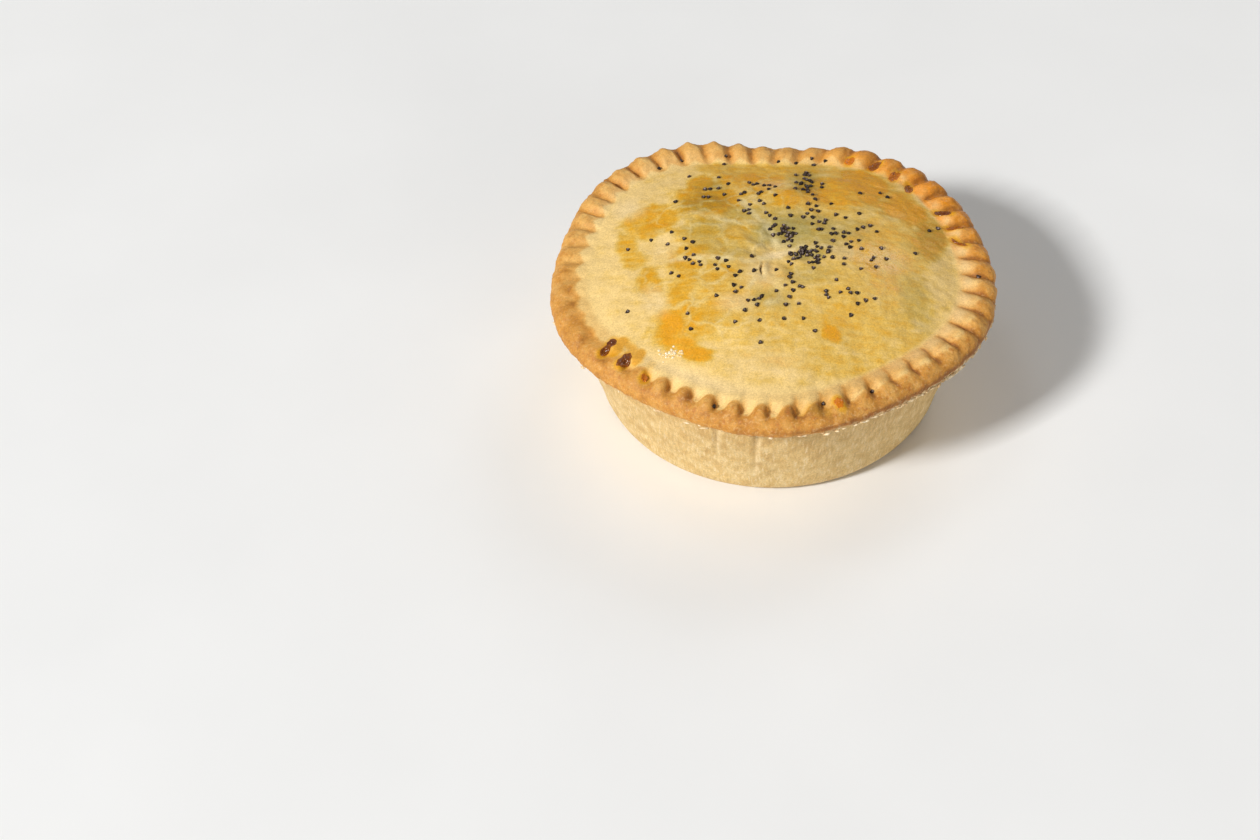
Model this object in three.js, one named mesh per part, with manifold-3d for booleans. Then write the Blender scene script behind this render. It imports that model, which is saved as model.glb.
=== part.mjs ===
// An uncut savoury pie of one hand's width: a straight-sided pastry case, a domed lid whose edge
// is pinched together with the case into a crimped rim, and poppy seeds baked onto the lid.
// Millimetres, +Z up, with the origin at the centre of the foot that the pie rests on.
// Angles run anticlockwise from +X as seen from above, and the front of the pie is at -Y.

import * as THREE from "three";
import { mergeVertices } from "three/addons/utils/BufferGeometryUtils.js";
import Module from "manifold-3d";

// Case section from the flat foot over its rounded lower edge and up the leaning wall to the seam
// under the rim
const SEAM_HEIGHT = 33.8;
const CASE_SECTION = [
  { radius: 45.9, height: 0 },
  { radius: 47.0, height: 0.9 },
  { radius: 49.3, height: 8 },
  { radius: 52.0, height: 20 },
  { radius: 54.6, height: SEAM_HEIGHT },
];

// The share of the rim's unevenness that the wall takes at the seam, from none at the foot
const WALL_FOLLOWS_RIM = 0.6;

// Rim: mean radius, then the waves that make it uneven, each with its number round the rim,
// its height and the angle of a crest
const RIM_RADIUS = 60;
const RIM_WAVES = [
  { count: 2, height: 2.0, crest: 3 },
  { count: 3, height: 1.2, crest: 25 },
  { count: 4, height: 0.9, crest: 43 },
  { count: 5, height: 1.35, crest: -15 },
];

// Rim section from its torn lower edge over the crest to the valley beside the lid. Inset is
// measured from the rim's edge and rise from the seam. Sink and pinch are the shares of a crimp's
// depth by which its groove goes down and inwards there. Edge is the share of that depth which
// changes round the pie, as the crimps are short dents at the front and whole grooves at the back.
// Lift is the share that a raised stretch of the rim takes, and level the share of the rise where
// the valley is filled.
const VALLEY_INSET = 10.4;
const VALLEY_RISE = 5.1;
const RIM_SECTION = [
  { inset: 1.6, rise: 0.0, sink: 0, pinch: 0, lift: 0, edge: 0, level: 0 },
  { inset: 0.2, rise: 0.5, sink: 0, pinch: 0.1, lift: 0.2, edge: 1, level: 0 },
  { inset: 0.0, rise: 2.3, sink: 0, pinch: 0.4, lift: 0.6, edge: 1, level: 0 },
  { inset: 1.2, rise: 4.3, sink: 0.55, pinch: 0.3, lift: 1, edge: 1, level: 0 },
  { inset: 3.2, rise: 5.6, sink: 0.9, pinch: 0, lift: 1, edge: 0.4, level: 0 },
  { inset: 5.6, rise: 6.0, sink: 1, pinch: 0, lift: 1, edge: 0, level: 0 },
  { inset: 8.0, rise: 5.7, sink: 0.75, pinch: 0, lift: 0.6, edge: 1, level: 0.5 },
  { inset: VALLEY_INSET, rise: VALLEY_RISE, sink: 0, pinch: 0, lift: 0, edge: 0, level: 1 },
];

// Stretches at the left and the front where the valley is level with the rim
const LEVEL_STRETCHES = [
  { angle: 188, halfWidth: 40, rise: 1.0 },
  { angle: 260, halfWidth: 42, rise: 1.6 },
];
const LEVEL_POWER = 4;

// Raised stretches of the rim
const RIM_LIFTS = [
  { angle: 113, halfWidth: 16, rise: 1.7 },
  { angle: 67, halfWidth: 8, rise: 1.0 },
];

// Crimps: the finger marks round the rim, which are spaced a little unevenly. Drift is in degrees
// for each wave round the rim. They lean at the left front, where an outer end lies that many
// degrees further round than an inner end, and hardly elsewhere. On some stretches they are deeper
// or shallower by a share of their depth. The ridges are even at the back, and at the front they
// stand nearer the next groove, which the skew is a power for.
const CRIMP_COUNT = 48;
const CRIMP_DEPTH = 2.0;
const CRIMP_START = 7.6;
const CRIMP_DRIFT = [
  { wave: 1, cosine: -0.48, sine: -0.75 },
  { wave: 2, cosine: -0.34, sine: -0.14 },
  { wave: 3, cosine: 0.28, sine: -0.47 },
];
const LEAN = { usual: -0.8, more: 5.3, angle: 220, halfWidth: 22, inset: 6 };
const SKEW = { more: 0.8, angle: 262, halfWidth: 45 };
const CRIMP_VARIATION = 0.3;
const CRIMP_VARIATION_STEP = 2.4;
const EDGE_REACH_FRONT = 0.1;
const EDGE_REACH_BACK = 1.0;
const BACKNESS_START = 0.1;
const BACKNESS_END = 0.45;
const DEPTH_STRETCHES = [
  { angle: 188, halfWidth: 28, change: -0.6 },
  { angle: 80, halfWidth: 18, change: -0.3 },
  { angle: 315, halfWidth: 18, change: -0.25 },
  { angle: 128, halfWidth: 22, change: 0.2 },
  { angle: 40, halfWidth: 22, change: 0.15 },
];

// Lid: a dome with a puckered dimple in the middle, soft swellings over the filling and one slit
// that lets the steam out
const DOME_RISE = 7.7;
const DOME_POWER = 2.2;
const DIMPLE_X = 1;
const DIMPLE_DEPTH = 2.0;
const DIMPLE_RADIUS = 7;
const PUCKER_COUNT = 9;
const PUCKER_HEIGHT = 0.2;
const PUCKER_RADIUS = 9;
const SWELLINGS = [
  { x: 4, y: 23, radius: 7, height: 1.3 },
  { x: -21, y: 12, radius: 11, height: 0.9 },
  { x: -13, y: -24, radius: 12, height: 0.7 },
  { x: 25, y: -12, radius: 12, height: 0.6 },
  { x: 29, y: 18, radius: 10, height: 0.7 },
];
const LID_RING_SHARES = [0.93, 0.82, 0.7, 0.58, 0.46, 0.36, 0.27, 0.18, 0.1];
const SLIT = { x: -2.5, y: -8, length: 6, width: 0.8, depth: 1.2, clear: 2 };

// Poppy seeds: patches of the sprinkle on the lid with the spread of each, and strays on the rim
// and the bare parts of the lid
const SEED_LENGTH = 1.3;
const SEED_WIDTH = 1.1;
const SEED_HEIGHT = 1.0;
const SEED_GAP = 1.05;
const SEED_RISE = 0.12;
const SEED_RANDOM_START = 2403888309;
const RANDOM_FACTOR = 1664525;
const RANDOM_STEP = 1013904223;
const RANDOM_RANGE = 2 ** 32;
const SPRINKLE = [
  { x: 9.5, y: -1.5, spreadX: 2.8, spreadY: 2.0, count: 20 },
  { x: 3.5, y: 7.5, spreadX: 2.4, spreadY: 1.6, count: 9 },
  { x: 22, y: 4, spreadX: 6.0, spreadY: 6.0, count: 30 },
  { x: 20, y: -15, spreadX: 4.5, spreadY: 4.0, count: 14 },
  { x: -1, y: -20, spreadX: 4.5, spreadY: 3.0, count: 14 },
  { x: 6, y: -14, spreadX: 2.5, spreadY: 2.0, count: 6 },
  { x: -14, y: -6, spreadX: 6.0, spreadY: 4.0, count: 14 },
  { x: -24, y: 1, spreadX: 8.0, spreadY: 6.0, count: 9 },
  { x: 9, y: 32, spreadX: 2.2, spreadY: 4.5, count: 15 },
  { x: -15, y: 28, spreadX: 5.0, spreadY: 5.0, count: 13 },
  { x: -3, y: 22, spreadX: 4.5, spreadY: 5.0, count: 11 },
  { x: 11, y: 15, spreadX: 5.0, spreadY: 3.0, count: 11 },
  { x: 28, y: 23, spreadX: 8.0, spreadY: 7.0, count: 4 },
];
const SPRINKLE_RADIUS = 45;
const STRAY_SEEDS = [
  { angle: 0, inset: 5 },
  { angle: 107, inset: 8 },
  { angle: 121, inset: 8 },
  { angle: 129, inset: 9 },
  { angle: 286, inset: 6 },
  { angle: 300.8, inset: 4.9 },
  { angle: 255.6, inset: 4 },
  { angle: 72.5, inset: 8.9 },
  { angle: 77.3, inset: 7.9 },
  { angle: 75.8, inset: 10.4 },
  { angle: 82.3, inset: 9.2 },
  { angle: 88.7, inset: 8.7 },
  { angle: 108.5, inset: 11.2 },
  { angle: 228, inset: 26.8 },
  { angle: 209.8, inset: 17.6 },
  { angle: 235, inset: 22.7 },
  { angle: 232.8, inset: 35.2 },
  { angle: 266.4, inset: 25.2 },
  { angle: 252, inset: 29.4 },
  { angle: 264.4, inset: 32.2 },
  { angle: 292.5, inset: 27 },
  { angle: 289.2, inset: 31.7 },
  { angle: 176.6, inset: 20.5 },
  { angle: 171.4, inset: 26.3 },
  { angle: 142.2, inset: 28 },
  { angle: 21.1, inset: 12 },
  { angle: 19.8, inset: 15.1 },
];

// Columns of facets round the pie: four to a crimp on the rim, fewer where the crust is plain
const RIM_COLUMNS = 4 * CRIMP_COUNT;
const WALL_COLUMNS = 2 * CRIMP_COUNT;
const LID_COLUMNS = CRIMP_COUNT;
const DIMPLE_COLUMNS = CRIMP_COUNT / 2;
const LID_COLUMNS_FROM = 0.75;
const DIMPLE_COLUMNS_FROM = 0.3;

const CRUST_COLOUR = 0xdcb069;
const CRUST_ROUGHNESS = 0.65;

const FULL_TURN = 2 * Math.PI;
const radians = THREE.MathUtils.degToRad;

function bell(offset, halfWidth) {
  return Math.exp(-((offset / halfWidth) ** 2));
}

// The least turn from one angle to another, in degrees
function turnBetween(a, b) {
  return THREE.MathUtils.euclideanModulo(a - b + 180, 360) - 180;
}

function rimRadius(angle) {
  let radius = RIM_RADIUS;
  for (const { count, height, crest } of RIM_WAVES) {
    radius += height * Math.cos(count * (angle - radians(crest)));
  }
  return radius;
}

// Angle of a place counted in crimps round the rim, with a groove at every whole number
function crimpAngle(place) {
  const even = (FULL_TURN * place) / CRIMP_COUNT;
  let angle = even + radians(CRIMP_START);
  for (const { wave, cosine, sine } of CRIMP_DRIFT) {
    angle += radians(cosine) * Math.cos(wave * even) + radians(sine) * Math.sin(wave * even);
  }
  return angle;
}

// The same at an inset from the rim's edge, where the crimps lean
function leaningAngle(place, inset) {
  const angle = crimpAngle(place);
  const turn = turnBetween(THREE.MathUtils.radToDeg(angle), LEAN.angle);
  const lean = LEAN.usual + LEAN.more * bell(turn, LEAN.halfWidth);
  return angle + (radians(lean) * (LEAN.inset - inset)) / VALLEY_INSET;
}

// Depth of the crimping at a place, from full in the middle of a groove to none on a ridge
function crimpDepth(place) {
  const degrees = THREE.MathUtils.radToDeg(crimpAngle(place));
  const skew = 1 + SKEW.more * bell(turnBetween(degrees, SKEW.angle), SKEW.halfWidth);
  const before = Math.floor(place);
  const skewed = before + (place - before) ** skew;
  const groove = Math.round(skewed);
  const across = Math.abs(skewed - groove);
  const weakness = 0.5 + 0.5 * Math.sin(CRIMP_VARIATION_STEP * (groove % CRIMP_COUNT));
  let depth = CRIMP_DEPTH * (1 - CRIMP_VARIATION * weakness);
  for (const { angle, halfWidth, change } of DEPTH_STRETCHES) {
    depth *= 1 + change * bell(turnBetween(degrees, angle), halfWidth);
  }
  return depth * (1 - Math.sin(Math.PI * across));
}

// How far the crimps reach over the rim's edge and towards the lid: all the way at the back, hardly
// at the front
function edgeReach(angle) {
  const backness = 0.5 + 0.5 * Math.sin(angle);
  const share = THREE.MathUtils.smoothstep(backness, BACKNESS_START, BACKNESS_END);
  return THREE.MathUtils.lerp(EDGE_REACH_FRONT, EDGE_REACH_BACK, share);
}

// The rise that some stretches of the rim add up to at an angle
function stretchedRise(angle, stretches) {
  const degrees = THREE.MathUtils.radToDeg(angle);
  let total = 0;
  for (const stretch of stretches) {
    total += stretch.rise * bell(turnBetween(degrees, stretch.angle), stretch.halfWidth);
  }
  return total;
}

function valleyRadius(angle) {
  return rimRadius(angle) - VALLEY_INSET;
}

// How much higher than elsewhere the valley lies
function valleyLevel(angle) {
  return stretchedRise(angle, LEVEL_STRETCHES);
}

function lidHeight(x, y) {
  const angle = Math.atan2(y, x);
  const share = Math.min(Math.hypot(x, y) / valleyRadius(angle), 1);
  const fromDimple = Math.hypot(x - DIMPLE_X, y);
  const roundDimple = Math.atan2(y, x - DIMPLE_X);
  let height = SEAM_HEIGHT + VALLEY_RISE + DOME_RISE * (1 - share ** DOME_POWER);
  height += valleyLevel(angle) * share ** LEVEL_POWER;
  height -= DIMPLE_DEPTH * bell(fromDimple, DIMPLE_RADIUS);
  const puckered = bell(fromDimple - PUCKER_RADIUS, PUCKER_RADIUS / 2);
  height += PUCKER_HEIGHT * puckered * Math.cos(PUCKER_COUNT * roundDimple);
  for (const swelling of SWELLINGS) {
    height += swelling.height * bell(Math.hypot(x - swelling.x, y - swelling.y), swelling.radius);
  }
  return height;
}

// A ring of points round the pie at an inset from the rim's edge, one for each column, from a rule
// for an angle and the place of its crimp
function ring(columns, inset, pointAt) {
  const points = [];
  for (let column = 0; column < columns; column += 1) {
    const place = (column * CRIMP_COUNT) / columns;
    points.push(pointAt(leaningAngle(place, inset), place));
  }
  return points;
}

function polar(radius, angle, height) {
  return new THREE.Vector3(radius * Math.cos(angle), radius * Math.sin(angle), height);
}

function caseRing({ radius, height }) {
  const followsRim = WALL_FOLLOWS_RIM * (height / SEAM_HEIGHT);
  return ring(WALL_COLUMNS, 0, (angle) => {
    const uneven = rimRadius(angle) - RIM_RADIUS;
    return polar(radius + followsRim * uneven, angle, height);
  });
}

function rimRing({ inset, rise, sink, pinch, lift, edge, level }) {
  return ring(RIM_COLUMNS, inset, (angle, place) => {
    const depth = crimpDepth(place) * THREE.MathUtils.lerp(1, edgeReach(angle), edge);
    const radius = rimRadius(angle) - inset - pinch * depth;
    const raised = lift * stretchedRise(angle, RIM_LIFTS) + level * valleyLevel(angle);
    return polar(radius, angle, SEAM_HEIGHT + rise + raised - sink * depth);
  });
}

function lidColumns(share) {
  if (share > LID_COLUMNS_FROM) {
    return WALL_COLUMNS;
  }
  return share > DIMPLE_COLUMNS_FROM ? LID_COLUMNS : DIMPLE_COLUMNS;
}

function lidRing(share) {
  return ring(lidColumns(share), VALLEY_INSET, (angle) => {
    const point = polar(share * valleyRadius(angle), angle, 0);
    return point.setZ(lidHeight(point.x, point.y));
  });
}

// Triangles between two rings, of which one may have twice as many columns as the other
function stitch(lower, upper, emit) {
  const columns = Math.max(lower.length, upper.length);
  const at = (points, column) => points[Math.floor((column * points.length) / columns) % points.length];
  for (let column = 0; column < columns; column += 1) {
    const a = at(lower, column);
    const b = at(lower, column + 1);
    const c = at(upper, column + 1);
    const d = at(upper, column);
    if (a !== b) {
      emit(a, b, c);
    }
    if (c !== d) {
      emit(a, c, d);
    }
  }
}

function crustGeometry() {
  const rings = [
    ...CASE_SECTION.map(caseRing),
    ...RIM_SECTION.map(rimRing),
    ...LID_RING_SHARES.map(lidRing),
  ];
  const corners = [];
  const emit = (a, b, c) => corners.push(a, b, c);
  const foot = rings[0];
  const middle = rings.at(-1);
  const footCentre = new THREE.Vector3(0, 0, 0);
  const lidCentre = new THREE.Vector3(0, 0, lidHeight(0, 0));
  foot.forEach((point, column) => emit(footCentre, foot[(column + 1) % foot.length], point));
  for (let index = 1; index < rings.length; index += 1) {
    stitch(rings[index - 1], rings[index], emit);
  }
  middle.forEach((point, column) => emit(point, middle[(column + 1) % middle.length], lidCentre));
  return new THREE.BufferGeometry().setFromPoints(corners);
}

// A repeatable stream of draws from 0 to 1
function randomStream(start) {
  let state = start;
  return () => {
    state = (Math.imul(state, RANDOM_FACTOR) + RANDOM_STEP) >>> 0;
    return state / RANDOM_RANGE;
  };
}

// Places of the seeds seen from above, each with the way it points. A seed that would lie on
// another, over the slit or off the lid is left out.
function seedPlaces() {
  const random = randomStream(SEED_RANDOM_START);
  const places = STRAY_SEEDS.map(({ angle, inset }) => {
    const point = polar(rimRadius(radians(angle)) - inset, radians(angle), 0);
    return { x: point.x, y: point.y, turn: FULL_TURN * random() };
  });
  for (const { x, y, spreadX, spreadY, count } of SPRINKLE) {
    for (let seed = 0; seed < count; seed += 1) {
      const reach = Math.sqrt(-2 * Math.log(1 - random()));
      const direction = FULL_TURN * random();
      const place = {
        x: x + spreadX * reach * Math.cos(direction),
        y: y + spreadY * reach * Math.sin(direction),
        turn: FULL_TURN * random(),
      };
      const onLid = Math.hypot(place.x, place.y) < SPRINKLE_RADIUS;
      const clear = places.every((other) => Math.hypot(other.x - place.x, other.y - place.y) > SEED_GAP);
      const besideSlit = Math.abs(place.x - SLIT.x) > SLIT.clear;
      const beyondSlit = Math.abs(place.y - SLIT.y) > SLIT.length / 2;
      if (onLid && clear && (besideSlit || beyondSlit)) {
        places.push(place);
      }
    }
  }
  return places;
}

// A seed lying on the crust, half sunk in it
function seedGeometry({ x, y, turn }, crust) {
  const above = new THREE.Vector3(x, y, 2 * (SEAM_HEIGHT + VALLEY_RISE + DOME_RISE));
  const down = new THREE.Raycaster(above, new THREE.Vector3(0, 0, -1));
  const [hit] = down.intersectObject(crust);
  const up = new THREE.Vector3(0, 0, 1);
  const seed = new THREE.IcosahedronGeometry(1, 0);
  seed.scale(SEED_LENGTH / 2, SEED_WIDTH / 2, SEED_HEIGHT / 2);
  seed.rotateZ(turn);
  seed.applyQuaternion(new THREE.Quaternion().setFromUnitVectors(up, hit.face.normal));
  const centre = hit.point.addScaledVector(hit.face.normal, SEED_RISE);
  return seed.translate(centre.x, centre.y, centre.z);
}

function slitGeometry() {
  const slit = new THREE.BoxGeometry(SLIT.width, SLIT.length, 2 * SLIT.depth);
  const slope = lidHeight(SLIT.x, SLIT.y + SLIT.length / 2) - lidHeight(SLIT.x, SLIT.y - SLIT.length / 2);
  slit.rotateX(Math.atan2(slope, SLIT.length));
  return slit.translate(SLIT.x, SLIT.y, lidHeight(SLIT.x, SLIT.y));
}

const wasm = await Module();
wasm.setup();

function toSolid(geometry) {
  const bare = geometry.clone();
  bare.deleteAttribute("normal");
  bare.deleteAttribute("uv");
  const merged = mergeVertices(bare);
  return new wasm.Manifold(new wasm.Mesh({
    numProp: 3,
    vertProperties: new Float32Array(merged.attributes.position.array),
    triVerts: new Uint32Array(merged.index.array),
  }));
}

function toGeometry(solid) {
  const mesh = solid.getMesh();
  const geometry = new THREE.BufferGeometry();
  geometry.setAttribute("position", new THREE.BufferAttribute(mesh.vertProperties, mesh.numProp));
  geometry.setIndex(new THREE.BufferAttribute(mesh.triVerts, 1));
  geometry.computeVertexNormals();
  return geometry;
}

function buildPie() {
  const bareCrust = new THREE.Mesh(crustGeometry());
  let solid = toSolid(bareCrust.geometry).subtract(toSolid(slitGeometry()));
  for (const place of seedPlaces()) {
    solid = solid.add(toSolid(seedGeometry(place, bareCrust)));
  }
  const material = new THREE.MeshStandardMaterial({
    color: CRUST_COLOUR,
    roughness: CRUST_ROUGHNESS,
    metalness: 0,
  });
  const pie = new THREE.Mesh(toGeometry(solid), material);
  pie.name = "pie";
  return pie;
}

const part = new THREE.Group();
part.add(buildPie());

export default part;
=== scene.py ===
# The finished look of the beef pie: a dense crust with egg wash, browning and stains of fat, poppy
# seeds, gravy that leaked into the crimps, torn flakes under the rim and froth of dried egg wash. Some
# shade and light are painted into the colours: in hollows, creases and the slit, and on lit places.
# Lengths are millimetres until a mesh is made, and angles are degrees in the named values.
# Angles run anticlockwise from +X as seen from above, and the front of the pie is at -Y.

import math
from types import SimpleNamespace

import bpy
import numpy as np
from mathutils import Matrix, Vector, noise
from mathutils.bvhtree import BVHTree


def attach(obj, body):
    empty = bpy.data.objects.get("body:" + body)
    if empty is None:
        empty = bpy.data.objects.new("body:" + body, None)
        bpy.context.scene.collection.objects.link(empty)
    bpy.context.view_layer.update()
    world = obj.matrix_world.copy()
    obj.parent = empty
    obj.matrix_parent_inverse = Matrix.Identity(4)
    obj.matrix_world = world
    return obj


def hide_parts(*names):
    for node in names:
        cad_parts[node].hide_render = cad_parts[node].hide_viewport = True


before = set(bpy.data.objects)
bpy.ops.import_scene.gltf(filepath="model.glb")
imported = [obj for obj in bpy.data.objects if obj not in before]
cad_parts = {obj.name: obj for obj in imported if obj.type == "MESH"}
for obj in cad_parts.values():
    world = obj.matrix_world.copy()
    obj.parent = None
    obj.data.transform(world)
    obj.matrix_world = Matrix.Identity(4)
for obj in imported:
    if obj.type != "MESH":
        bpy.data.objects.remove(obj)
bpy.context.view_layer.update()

MM = 0.001

# Case section from the flat foot to the seam under the rim: radius and height
SEAM_HEIGHT = 33.8
CASE_SECTION = [(45.9, 0), (47.0, 0.9), (49.3, 8), (52.0, 20), (54.6, SEAM_HEIGHT)]
WALL_FOLLOWS_RIM = 0.6

# Upright creases of the case: angle, depth and the height where each fades out below. They lean by
# degrees for each millimetre of height, are some degrees wide, and are full from one height up.
WALL_CREASES = [(266.0, 0.9, 8), (254.2, 0.8, 12), (288, 0.35, 20)]
WALL_CREASE_LEAN = 0.05
WALL_CREASE_WIDTH = 0.6
WALL_CREASE_FULL = SEAM_HEIGHT - 4

# Rim: mean radius, then its waves, each with its number round the rim, height and crest angle
RIM_RADIUS = 60
RIM_WAVES = [(2, 2.0, 3), (3, 1.2, 25), (4, 0.9, 43), (5, 1.35, -15)]

# Rim section from its torn lower edge over the crest to the valley beside the lid: inset, rise,
# sink and pinch shares of a crimp's depth, share of a lift, share of the edge's own crimp depth,
# share of the rise where the valley is filled
VALLEY_INSET = 10.4
VALLEY_RISE = 5.1
RIM_SECTION = [
    (1.6, 0.0, 0, 0, 0, 0, 0),
    (0.2, 0.5, 0, 0.1, 0.2, 1, 0),
    (0.0, 2.3, 0, 0.4, 0.6, 1, 0),
    (1.2, 4.3, 0.55, 0.3, 1, 1, 0),
    (3.2, 5.6, 0.9, 0, 1, 0.4, 0),
    (5.6, 6.0, 1, 0, 1, 0, 0),
    (8.0, 5.7, 0.75, 0, 0.6, 1, 0.5),
    (VALLEY_INSET, VALLEY_RISE, 0, 0, 0, 0, 1),
]

# Stretches at the left and the front where the valley is level with the rim: angle, half width, rise
LEVEL_STRETCHES = [(188, 40, 1.0), (260, 42, 1.6)]
LEVEL_POWER = 4

# Raised stretches of the rim: angle, half width and rise
RIM_LIFTS = [(113, 16, 1.7), (67, 8, 1.0)]

# Crimps round the rim. Stretches are angle and half width, then a change: where the grooves are
# narrower, where they are creased and not round, where they lean, where they are skewed towards the
# next one, and where they are deeper or shallower. At the rim's edge their depth grows between two
# values of backness, which is 0 at the front and 1 at the back.
CRIMP_COUNT = 48
CRIMP_DEPTH = 2.0
CRIMP_START = 7.6
CRIMP_DRIFT = [(1, -0.48, -0.75), (2, -0.34, -0.14), (3, 0.28, -0.47)]
CRIMP_ROUNDNESS = 0.38
NARROW_STRETCH = (125, 42, 0.10)
CREASED_STRETCH = (-5, 45)
LEAN_USUAL = -0.8
LEAN_STRETCH = (220, 22, 5.3)
LEAN_INSET = 6
SKEW_STRETCH = (262, 45, 0.8)
CRIMP_VARIATION = 0.3
CRIMP_VARIATION_STEP = 2.4
EDGE_REACH_FRONT = 0.1
EDGE_REACH_BACK = 1.0
EDGE_REACH_BACKNESS = (0.1, 0.45)
DEPTH_STRETCHES = [(188, 28, -0.6), (80, 18, -0.3), (315, 18, -0.25), (128, 22, 0.2), (40, 22, 0.15)]

# Lid: dome, puckered dimple, swellings (x, y, radius, height) and the steam slit
DOME_RISE = 7.7
DOME_POWER = 2.2
DIMPLE_X = 1
DIMPLE_DEPTH = 2.0
DIMPLE_RADIUS = 7
PUCKER_COUNT = 9
PUCKER_HEIGHT = 0.2
PUCKER_RADIUS = 9
SWELLINGS = [
    (4, 23, 7, 1.3),
    (-21, 12, 11, 0.9),
    (-13, -24, 12, 0.7),
    (25, -12, 12, 0.6),
    (29, 18, 10, 0.7),
]
SLIT_X = -2.5
SLIT_Y = -8
SLIT_LENGTH = 6
SLIT_WIDTH = 0.8
SLIT_EDGE = 0.35
SLIT_WAVE = 0.25
SLIT_DEPTH = 1.2
SLIT_CLEAR = 2

# Columns and rows of the dense crust. Lid bands: inner share of the lid's radius, columns, rows
RIM_COLUMNS = 20 * CRIMP_COUNT
WALL_COLUMNS = 10 * CRIMP_COUNT
WALL_ROWS = 34
UNDERSIDE_ROWS = 4
RIM_ROWS = 30
LID_BANDS = [
    (0.90, RIM_COLUMNS, 8),
    (0.35, WALL_COLUMNS, 58),
    (0.12, WALL_COLUMNS // 2, 28),
    (0.04, WALL_COLUMNS // 4, 10),
    (0.01, WALL_COLUMNS // 8, 4),
]

# Rings before and after the valley that are averaged to round it, and how often
SOFT_RINGS = (6, 5)
SOFT_PASSES = 3

# Stretches of the rim that look alike: the angle of the middle and the half width. Outside its own
# stretch the lower edge is torn a little too.
EVERYWHERE = (0, math.inf)
FRONT = (262, 40)
FRONT_LEFT = (245, 20)
FRONT_RIGHT = (305, 34)
RIGHT = (-25, 45)
RIGHT_SHADE = (-35, 50)
RIGHT_END = (-2, 14)
BACK_RIGHT = (36, 34)
KNUCKLED = (35, 35)
GLAZED = (38, 32)
BACK = (122, 42)
BACK_POINTED = (116, 32)
BACK_LEFT = (154, 22)
LEFT = (208, 26)
FRECKLED = (290, 60)
TORN = (322, 24)
TORN_BROWN = (318, 38)
TORN_PALE = (318, 30)
TORN_LEAST = 0.25

# Random lumps of the crust, in layers of height, size and shift. Their octaves: fall, step, count
OCTAVES = (0.8, 2.0, 3)
LID_LUMPS = [(0.32, 9, 0), (0.10, 2.2, 40)]
RIM_LUMPS = (0.22, 4, 70)
RIM_GRAIN = (0.07, 1.2, 90)
OUTER_GRAIN = (0.05, 1.2, 90)
TORN_LUMPS = (0.55, 1.1, 20)
WALL_LUMPS = [(0.28, 11, 5), (0.07, 1.8, 33)]

# Bands of relief along the rim and beside the slit: height, inset or distance, and half width. The
# front lobes start at a share of a crimp and lean by a power.
FRONT_LOBES = (0.5, 4.6, 2.4)
BACK_POINTS = (0.38, 2.4, 3.2)
BACK_LEFT_FILL = (0.8, 0.3, 2.2)
SLIT_LIP = (0.25, 1.2, 0.8)
LOBE_START = 0.26
LOBE_POWER = 1.3

# Where relief fades, each from none to all: insets of the lid's lumps and of the outer rim's grain,
# rises of the torn edge, heights of the wall's lumps at its foot and at its seam
LID_LUMPS_INSETS = (7.5, 12)
OUTER_GRAIN_INSETS = (6, 3)
TORN_RISES = (1.6, 0.2)
FOOT_HEIGHTS = (0.5, 5)
SEAM_HEIGHTS = (SEAM_HEIGHT, SEAM_HEIGHT - 4)

# Patches of the lid: x, y, half length, half width, turn and strength. Egg wash; darker places,
# which are painted shade of the lid's dip and slopes and a greyer tint; paler places, which are bare
# pastry and painted highlight; and the places that shine most
WASH_PATCHES = [
    (6, 0, 40, 42, 0, 0.40),
    (-33, 13.5, 8.5, 7.5, 25, 0.74),
    (-32.5, 13, 4.5, 5, 0, 0.9),
    (-40, 5.5, 6, 3.2, -82, 0.68),
    (-38, -2.5, 4.5, 3.2, -66, 0.62),
    (-33, -11, 5.5, 3.2, -72, 0.76),
    (-16, 8, 12, 9, 0, 0.58),
    (-21, 31, 4, 6, 0, 0.82),
    (-18, 21, 9, 8, 0, 0.95),
    (-6, 31, 11, 8, 0, 0.9),
    (0, 40, 20, 6, 0, 0.62),
    (3.5, 22, 4.5, 5.5, 0, 0.85),
    (16, 28, 10, 11, 0, 0.85),
    (26, 34, 8, 11, -10, 1.0),
    (37, 24, 8, 7, -45, 0.95),
    (44, 12, 5, 11, -20, 0.85),
    (30, 4, 12, 14, 0, 0.6),
    (29, -4, 5, 14, 10, 0.62),
    (-19, -1, 8, 3, 0, 0.6),
    (-16, -11, 10, 4.5, 0, 0.65),
    (-23.5, -3.5, 4.6, 5.6, 0, 0.76),
    (-24, -17, 4, 5, 0, 0.7),
    (-13, -19, 8, 6, 0, 0.6),
    (-23.8, -27.5, 7.6, 6.6, 0, 0.82),
    (-25.6, -29.4, 4.0, 6.6, 8, 1.0),
    (-22.5, -33.6, 3.6, 2.6, -35, 0.95),
    (-18, -37.2, 4.6, 2.2, -12, 1.0),
    (-19, -25, 6, 6, 0, 0.66),
    (17, -29.3, 3, 3, 0, 0.98),
    (25, -18, 10, 2.6, 62, 0.54),
    (19, -25, 7, 7, 0, 0.55),
    (30, -28, 16, 12, -40, 0.46),
    (3, -12, 7, 6, 0, 0.52),
    (0, -26, 12, 6, 0, 0.46),
    (8, -37, 14, 6, 0, 0.42),
    (38, -14, 6, 9, 15, 0.42),
    (22, -40, 8, 4, 20, 0.45),
]
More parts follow.
